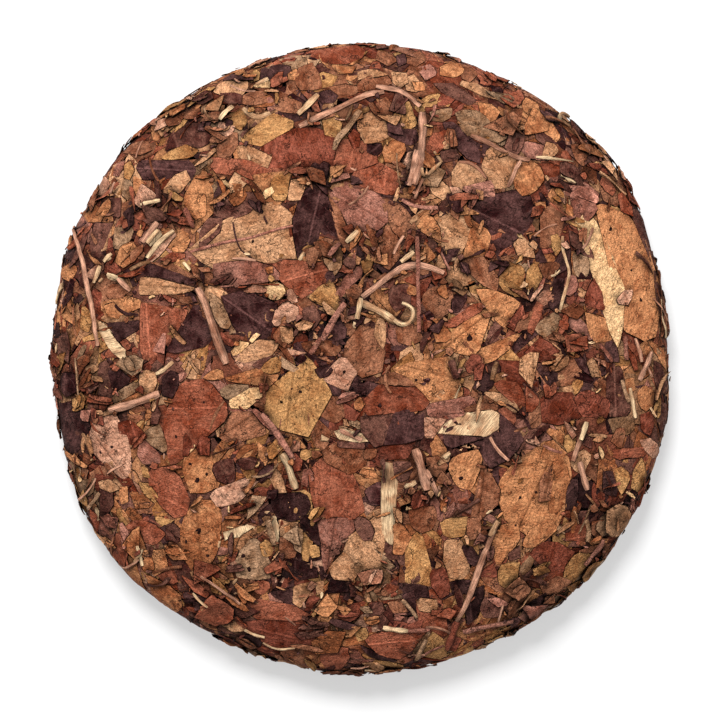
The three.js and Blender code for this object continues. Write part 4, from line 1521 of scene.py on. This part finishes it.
class Nodes:
    """A short way of writing a material's nodes."""

    def __init__(self, name):
        self.material = bpy.data.materials.new(name)
        self.material.use_nodes = True
        self.tree = self.material.node_tree
        self.shader = self.tree.nodes["Principled BSDF"]

    def link(self, source, target):
        if isinstance(source, (int, float, tuple)):
            target.default_value = source
        else:
            self.tree.links.new(source, target)

    def attribute(self, name):
        node = self.tree.nodes.new("ShaderNodeAttribute")
        node.attribute_name = name
        return node.outputs

    def math(self, operation, first, second=0.0, third=0.0):
        node = self.tree.nodes.new("ShaderNodeMath")
        node.operation = operation
        for socket, value in zip(node.inputs, (first, second, third)):
            self.link(value, socket)
        return node.outputs[0]

    def times(self, *values):
        product = values[0]
        for value in values[1:]:
            product = self.math("MULTIPLY", product, value)
        return product

    def noise(self, coordinates, scale, detail=2.0, roughness=0.5, distortion=0.0):
        node = self.tree.nodes.new("ShaderNodeTexNoise")
        self.link(coordinates, node.inputs["Vector"])
        node.inputs["Scale"].default_value = scale
        node.inputs["Detail"].default_value = detail
        node.inputs["Roughness"].default_value = roughness
        node.inputs["Distortion"].default_value = distortion
        return node.outputs[0]

    def scaled(self, coordinates, scale):
        node = self.tree.nodes.new("ShaderNodeMapping")
        self.link(coordinates, node.inputs["Vector"])
        node.inputs["Scale"].default_value = scale
        return node.outputs[0]

    def ramp(self, value, low, high, to_low=0.0, to_high=1.0):
        node = self.tree.nodes.new("ShaderNodeMapRange")
        node.interpolation_type = "SMOOTHSTEP"
        for socket, number in zip(node.inputs, (value, low, high, to_low, to_high)):
            self.link(number, socket)
        return node.outputs[0]

    def mix(self, share, first, second):
        node = self.tree.nodes.new("ShaderNodeMix")
        node.data_type = "RGBA"
        self.link(share, node.inputs[0])
        self.link(first, node.inputs[6])
        self.link(second, node.inputs[7])
        return node.outputs[2]

    def split(self, vector):
        node = self.tree.nodes.new("ShaderNodeSeparateXYZ")
        self.link(vector, node.inputs[0])
        return node.outputs

    def shaded(self, colour, shade):
        node = self.tree.nodes.new("ShaderNodeVectorMath")
        node.operation = "SCALE"
        self.link(colour, node.inputs[0])
        self.link(shade, node.inputs["Scale"])
        return node.outputs[0]

    def bump(self, height, strength, distance):
        node = self.tree.nodes.new("ShaderNodeBump")
        node.inputs["Strength"].default_value = strength
        node.inputs["Distance"].default_value = distance
        self.link(height, node.inputs["Height"])
        self.link(node.outputs[0], self.shader.inputs["Normal"])


def vein_lines(nodes, place):
    """Midrib and side veins, 1 on a line and 0 between, from places along and across a leaf."""
    along, across, _ = nodes.split(place)
    away = nodes.math("ABSOLUTE", across)
    rib = nodes.ramp(away, 0.12, 0.5, 1.0, 0.0)
    bent = nodes.math("MULTIPLY", nodes.noise(place, scale=0.22, detail=1.0), 5.0)
    slanted = nodes.math("ADD", nodes.math("MULTIPLY_ADD", away, -0.75, along), bent)
    wave = nodes.math("PINGPONG", slanted, 2.1)
    side = nodes.ramp(wave, 0.0, 0.25, 1.0, 0.0)
    return nodes.math("MAXIMUM", rib, nodes.times(side, 0.55))


def crack_lines(nodes, place):
    """Short, winding creases, 1 on a line and 0 between. The leaf's colour is darkened along them as painted
    shade.
    """
    winding = nodes.noise(place, scale=0.3, detail=3.0, roughness=0.55)
    line = nodes.ramp(nodes.math("ABSOLUTE", nodes.math("SUBTRACT", winding, 0.5)), 0.0, 0.02, 1.0, 0.0)
    return nodes.times(line, nodes.ramp(nodes.noise(place, scale=0.21, detail=1.0), 0.5, 0.62))


def leaf_material(kind, light, dark):
    """Dried, pressed leaf: blotches, grain, veins, dark specks, creases darkened with painted shade, and a
    near-black underside and edge that are a painted shadow in the gaps round it.
    """
    nodes = Nodes("dried_leaf_" + kind)
    place = nodes.attribute("leaf_place")["Vector"]
    look = nodes.attribute("leaf_look")
    bright, warm, ribbed = nodes.split(look["Vector"])
    # 1 on the top, 0 on the underside and walls: painted shadow in the gap round the leaf
    upward = look["Alpha"]
    blotch = nodes.noise(place, scale=0.17, detail=3.0, roughness=0.62, distortion=0.7)
    shifted = nodes.math("MULTIPLY_ADD", warm, 0.3, blotch)
    colour = nodes.mix(nodes.ramp(shifted, 0.45, 0.85), linear(light), linear(dark))
    stain = nodes.ramp(nodes.noise(place, scale=0.5, detail=4.0, roughness=0.68, distortion=0.5), 0.56, 0.74)
    stain_tone = (dark[0] * 0.78, dark[1] * 0.66, dark[2] * 0.62)
    colour = nodes.mix(nodes.times(stain, 0.6), colour, linear(stain_tone))

    mottle = nodes.noise(place, scale=0.95, detail=4.0, roughness=0.68)
    grain = nodes.noise(place, scale=2.3, detail=2.0, roughness=0.6)
    fibres = nodes.noise(nodes.scaled(place, (0.35, 2.0, 1.0)), scale=1.0, detail=3.0, roughness=0.65)
    veins = nodes.times(vein_lines(nodes, place), ribbed)
    if sum(light) > PALE_KIND:
        vein_tone, vein_share = tuple(value * 0.8 for value in dark), 0.55
    else:
        vein_tone, vein_share = tuple(value * 1.45 for value in light), 0.4
    colour = nodes.mix(nodes.times(veins, vein_share), colour, linear(vein_tone))
    speck = nodes.ramp(nodes.noise(place, scale=0.9, detail=1.0), 0.7, 0.76)
    colour = nodes.mix(nodes.times(speck, 0.7), colour, linear(SPECK_TONE))
    cracks = crack_lines(nodes, place)
    shade = nodes.times(
        nodes.ramp(mottle, 0.28, 0.72, 0.72, 1.26),
        nodes.ramp(fibres, 0.3, 0.7, 0.78, 1.2),
        # painted shadow: near black on the underside and walls
        nodes.ramp(upward, 0.5, 1.0, 0.06, 1.0),
        nodes.ramp(grain, 0.3, 0.7, 0.66, 1.34),
        # painted shade: near black along the creases
        nodes.math("MULTIPLY_ADD", cracks, -0.8, 1.0),
        bright,
    )
    nodes.link(nodes.shaded(colour, shade), nodes.shader.inputs["Base Color"])
    nodes.link(nodes.ramp(mottle, 0.3, 0.7, 0.8, 0.55), nodes.shader.inputs["Roughness"])
    nodes.shader.inputs["Specular IOR Level"].default_value = LEAF_SHINE
    wrinkle = nodes.noise(place, scale=0.5, detail=3.0, roughness=0.6, distortion=1.8)
    height = wrinkle
    for relief, share in ((mottle, 0.3), (fibres, 0.3), (grain, 0.2), (cracks, -0.35), (veins, 0.3)):
        height = nodes.math("MULTIPLY_ADD", relief, share, height)
    nodes.bump(height, strength=0.9, distance=0.0011)
    return nodes.material


def stem_material(kind, light, dark):
    """Dried stalk: long fibres, from pale straw to pinkish brown, darker in its grooves."""
    nodes = Nodes("dried_stem_" + kind)
    place = nodes.attribute("leaf_place")["Vector"]
    bright, warm, _ = nodes.split(nodes.attribute("leaf_look")["Vector"])
    fibres = nodes.noise(nodes.scaled(place, (0.3, 2.6, 1.0)), scale=1.0, detail=3.0, roughness=0.65)
    patches = nodes.noise(place, scale=0.24, detail=2.0)
    shifted = nodes.math("MULTIPLY_ADD", warm, 0.25, patches)
    colour = nodes.mix(nodes.ramp(shifted, 0.45, 0.8), linear(light), linear(dark))
    shade = nodes.times(nodes.ramp(fibres, 0.3, 0.7, 0.5, 1.35), bright)
    nodes.link(nodes.shaded(colour, shade), nodes.shader.inputs["Base Color"])
    nodes.shader.inputs["Roughness"].default_value = 0.6
    nodes.shader.inputs["Specular IOR Level"].default_value = STEM_SHINE
    nodes.bump(fibres, strength=0.9, distance=0.0008)
    return nodes.material


def core_material():
    """The crumbly inside, near black: dark leaf, and painted shade for the deep gaps between leaves where it
    shows.
    """
    nodes = Nodes("packed_core")
    spot = nodes.tree.nodes.new("ShaderNodeTexCoord").outputs["Object"]
    grain = nodes.noise(spot, scale=700.0, detail=4.0, roughness=0.6)
    colour = nodes.mix(nodes.ramp(grain, 0.4, 0.7), *map(linear, CORE_TONES))
    nodes.link(colour, nodes.shader.inputs["Base Color"])
    nodes.shader.inputs["Roughness"].default_value = 0.9
    nodes.shader.inputs["Specular IOR Level"].default_value = CORE_SHINE
    nodes.bump(grain, strength=0.8, distance=0.0012)
    return nodes.material


# Writing meshes

def shelves(boxes, gap):
    """Lays boxes in rows, the tallest first. Returns their corners and the side of the square."""
    order = np.argsort([-box[1] for box in boxes])
    total = sum((box[0] + gap) * (box[1] + gap) for box in boxes)
    side = math.sqrt(total) * 1.08
    corners = np.zeros((len(boxes), 2))
    x = y = row = 0.0
    for index in order:
        width, height = boxes[index][0] + gap, boxes[index][1] + gap
        if x + width > side and x > 0:
            x, y, row = 0.0, y + row, 0.0
        corners[index] = x, y
        x += width
        row = max(row, height)
    return corners, max(side, y + row)


def write_mesh(name, points, faces, material):
    mesh = bpy.data.meshes.new(name)
    mesh.vertices.add(len(points))
    mesh.vertices.foreach_set("co", (points * MM).astype(np.float32).ravel())
    mesh.loops.add(faces.size)
    mesh.loops.foreach_set("vertex_index", faces.astype(np.int32).ravel())
    mesh.polygons.add(len(faces))
    mesh.polygons.foreach_set("loop_start", np.arange(len(faces), dtype=np.int32) * 3)
    mesh.polygons.foreach_set("use_smooth", np.ones(len(faces), bool))
    mesh.update(calc_edges=True)
    mesh.materials.append(material)
    made = bpy.data.objects.new(name, mesh)
    bpy.context.scene.collection.objects.link(made)
    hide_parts(CAKE)
    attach(made, "root")
    return made


def write_kind(name, pieces, material):
    """One mesh of every piece of one kind that shows."""
    pieces = [piece for piece in pieces if piece.shows()]
    points, crevice_shades, faces, owners = [], [], [], []
    count = 0
    for number, piece in enumerate(pieces):
        height = piece.pile.pressed(piece.x, piece.y, piece.height) + piece.loose
        points.append(piece.pile.chart.place(piece.x, piece.y, height))
        crevice_shades.append(piece.pile.painted_crevice_shade(piece.x, piece.y, piece.height))
        faces.append(piece.faces + count)
        owners.append(np.full(len(height), number))
        count += len(height)
    points = np.concatenate(points)
    points[:, 2] = np.maximum(points[:, 2], 0.0)
    faces = np.concatenate(faces)
    owners = np.concatenate(owners)
    made = write_mesh(name, points, faces, material)
    mesh = made.data
    inner = np.concatenate([piece.inner for piece in pieces])
    look = np.concatenate([piece.look for piece in pieces])
    # Painted shade: pieces that lie below their neighbours are darkened in the crevices
    look[:, 0] *= np.concatenate(crevice_shades)
    places = mesh.attributes.new("leaf_place", "FLOAT_VECTOR", "POINT")
    places.data.foreach_set("vector", inner.astype(np.float32).ravel())
    looks = mesh.attributes.new("leaf_look", "FLOAT_COLOR", "POINT")
    looks.data.foreach_set("color", look.astype(np.float32).ravel())
    corners, side = shelves([np.ptp(piece.inner[:, :2], axis=0) for piece in pieces], UV_GAP)
    lows = np.array([piece.inner[:, :2].min(0) for piece in pieces])
    flat = (inner[:, :2] - lows[owners] + corners[owners] + UV_GAP / 2) / side
    layer = mesh.uv_layers.new(name="OFBake")
    layer.data.foreach_set("uv", flat[faces.ravel()].astype(np.float32).ravel())
    mesh.set_sharp_from_angle(angle=SHARP_ANGLE)
    print(f"{name}: {len(faces)} triangles, {len(pieces)} pieces")
    return made


def write_core():
    """The dark inside, a little under the skin all over; its near-black colour is partly painted shade in
    the gaps.
    """
    rings = GRID[::CORE_STEPS]
    outward = np.gradient(rings, axis=0)
    round_about = np.roll(rings, -1, 1) - np.roll(rings, 1, 1)
    normals = np.cross(outward, round_about)
    sizes = np.linalg.norm(normals, axis=2, keepdims=True)
    normals = normals / np.maximum(sizes, 1e-9)
    normals[0], normals[-1] = (0, 0, 1), (0, 0, -1)
    if (normals[1:-1] * (rings[1:-1] - [0, 0, INNER_POINT_HEIGHT])).sum() < 0:
        normals[1:-1] = -normals[1:-1]
    up_and_down = np.sin(np.arange(len(rings)) * 1.9)[:, None]
    lumps = CORE_LUMPS * up_and_down * np.cos(np.arange(TURNS) * 1.31)[None, :]
    lumps[[0, -1]] = 0
    inside = rings - normals * (CORE_DEPTH + lumps)[..., None]
    body = inside[1:-1].reshape(-1, 3)
    points = np.concatenate([inside[0, :1], body, inside[-1, :1]])
    points[:, 2] = np.maximum(points[:, 2], CORE_LOWEST)
    i = np.arange(TURNS)
    j = (i + 1) % TURNS
    faces = [np.stack([np.zeros(TURNS, int), 1 + i, 1 + j], 1)]
    last = len(points) - 1
    for ring in range(len(rings) - 3):
        near, far = 1 + ring * TURNS, 1 + (ring + 1) * TURNS
        faces.append(np.stack([near + i, far + i, far + j], 1))
        faces.append(np.stack([near + i, far + j, near + j], 1))
    near = 1 + (len(rings) - 3) * TURNS
    faces.append(np.stack([near + j, near + i, np.full(TURNS, last)], 1))
    return write_mesh("core", points, np.concatenate(faces), core_material())


STEM_KINDS = ("stem", "straw")

generator = np.random.default_rng(SEED)
piles = (build_crown(generator), build_dimple(generator))
write_core()
for kind_name, (light_tone, dark_tone) in KINDS.items():
    finish = stem_material if kind_name in STEM_KINDS else leaf_material
    prefix = "stems_" if kind_name in STEM_KINDS else "leaves_"
    of_kind = [piece for pile in piles for piece in pile.pieces if piece.kind == kind_name]
    write_kind(prefix + kind_name, of_kind, finish(kind_name, light_tone, dark_tone))


# Floor, light and camera

def add_floor():
    bpy.ops.mesh.primitive_plane_add(size=FLOOR_SIDE, location=(0, 0, FLOOR_HEIGHT))
    floor = bpy.context.object
    floor.name = "floor"
    nodes = Nodes("pale_floor")
    nodes.shader.inputs["Base Color"].default_value = FLOOR_TONE
    nodes.shader.inputs["Emission Color"].default_value = WHITE
    nodes.shader.inputs["Emission Strength"].default_value = FLOOR_GLOW
    nodes.shader.inputs["Roughness"].default_value = 0.9
    floor.data.materials.append(nodes.material)


def add_light(name, place, size, power):
    """A round lamp that points at the foot of the cake."""
    light = bpy.data.lights.new(name, "AREA")
    light.shape = "DISK"
    light.size = size
    light.energy = power
    holder = bpy.data.objects.new(name, light)
    holder.location = place
    holder.rotation_euler = (-Vector(place)).to_track_quat("-Z", "Y").to_euler()
    bpy.context.scene.collection.objects.link(holder)


def add_lights():
    world = bpy.data.worlds.new("soft_studio")
    world.use_nodes = True
    background = world.node_tree.nodes["Background"]
    background.inputs["Color"].default_value = WHITE
    background.inputs["Strength"].default_value = ROOM_LIGHT
    bpy.context.scene.world = world
    add_light("key", **KEY_LAMP)
    add_light("fill", **FILL_LAMP)


def add_camera():
    camera = bpy.data.cameras.new("camera")
    camera.lens = CAMERA_LENS
    camera.sensor_width = SENSOR
    holder = bpy.data.objects.new("camera", camera)
    place = camera_place() * MM
    holder.location = place
    holder.rotation_euler = (Vector(CAMERA_TARGET) * MM - place).to_track_quat("-Z", "Y").to_euler()
    bpy.context.scene.collection.objects.link(holder)
    bpy.context.scene.camera = holder


bpy.context.scene.view_settings.view_transform = "Standard"
add_floor()
add_lights()
add_camera()
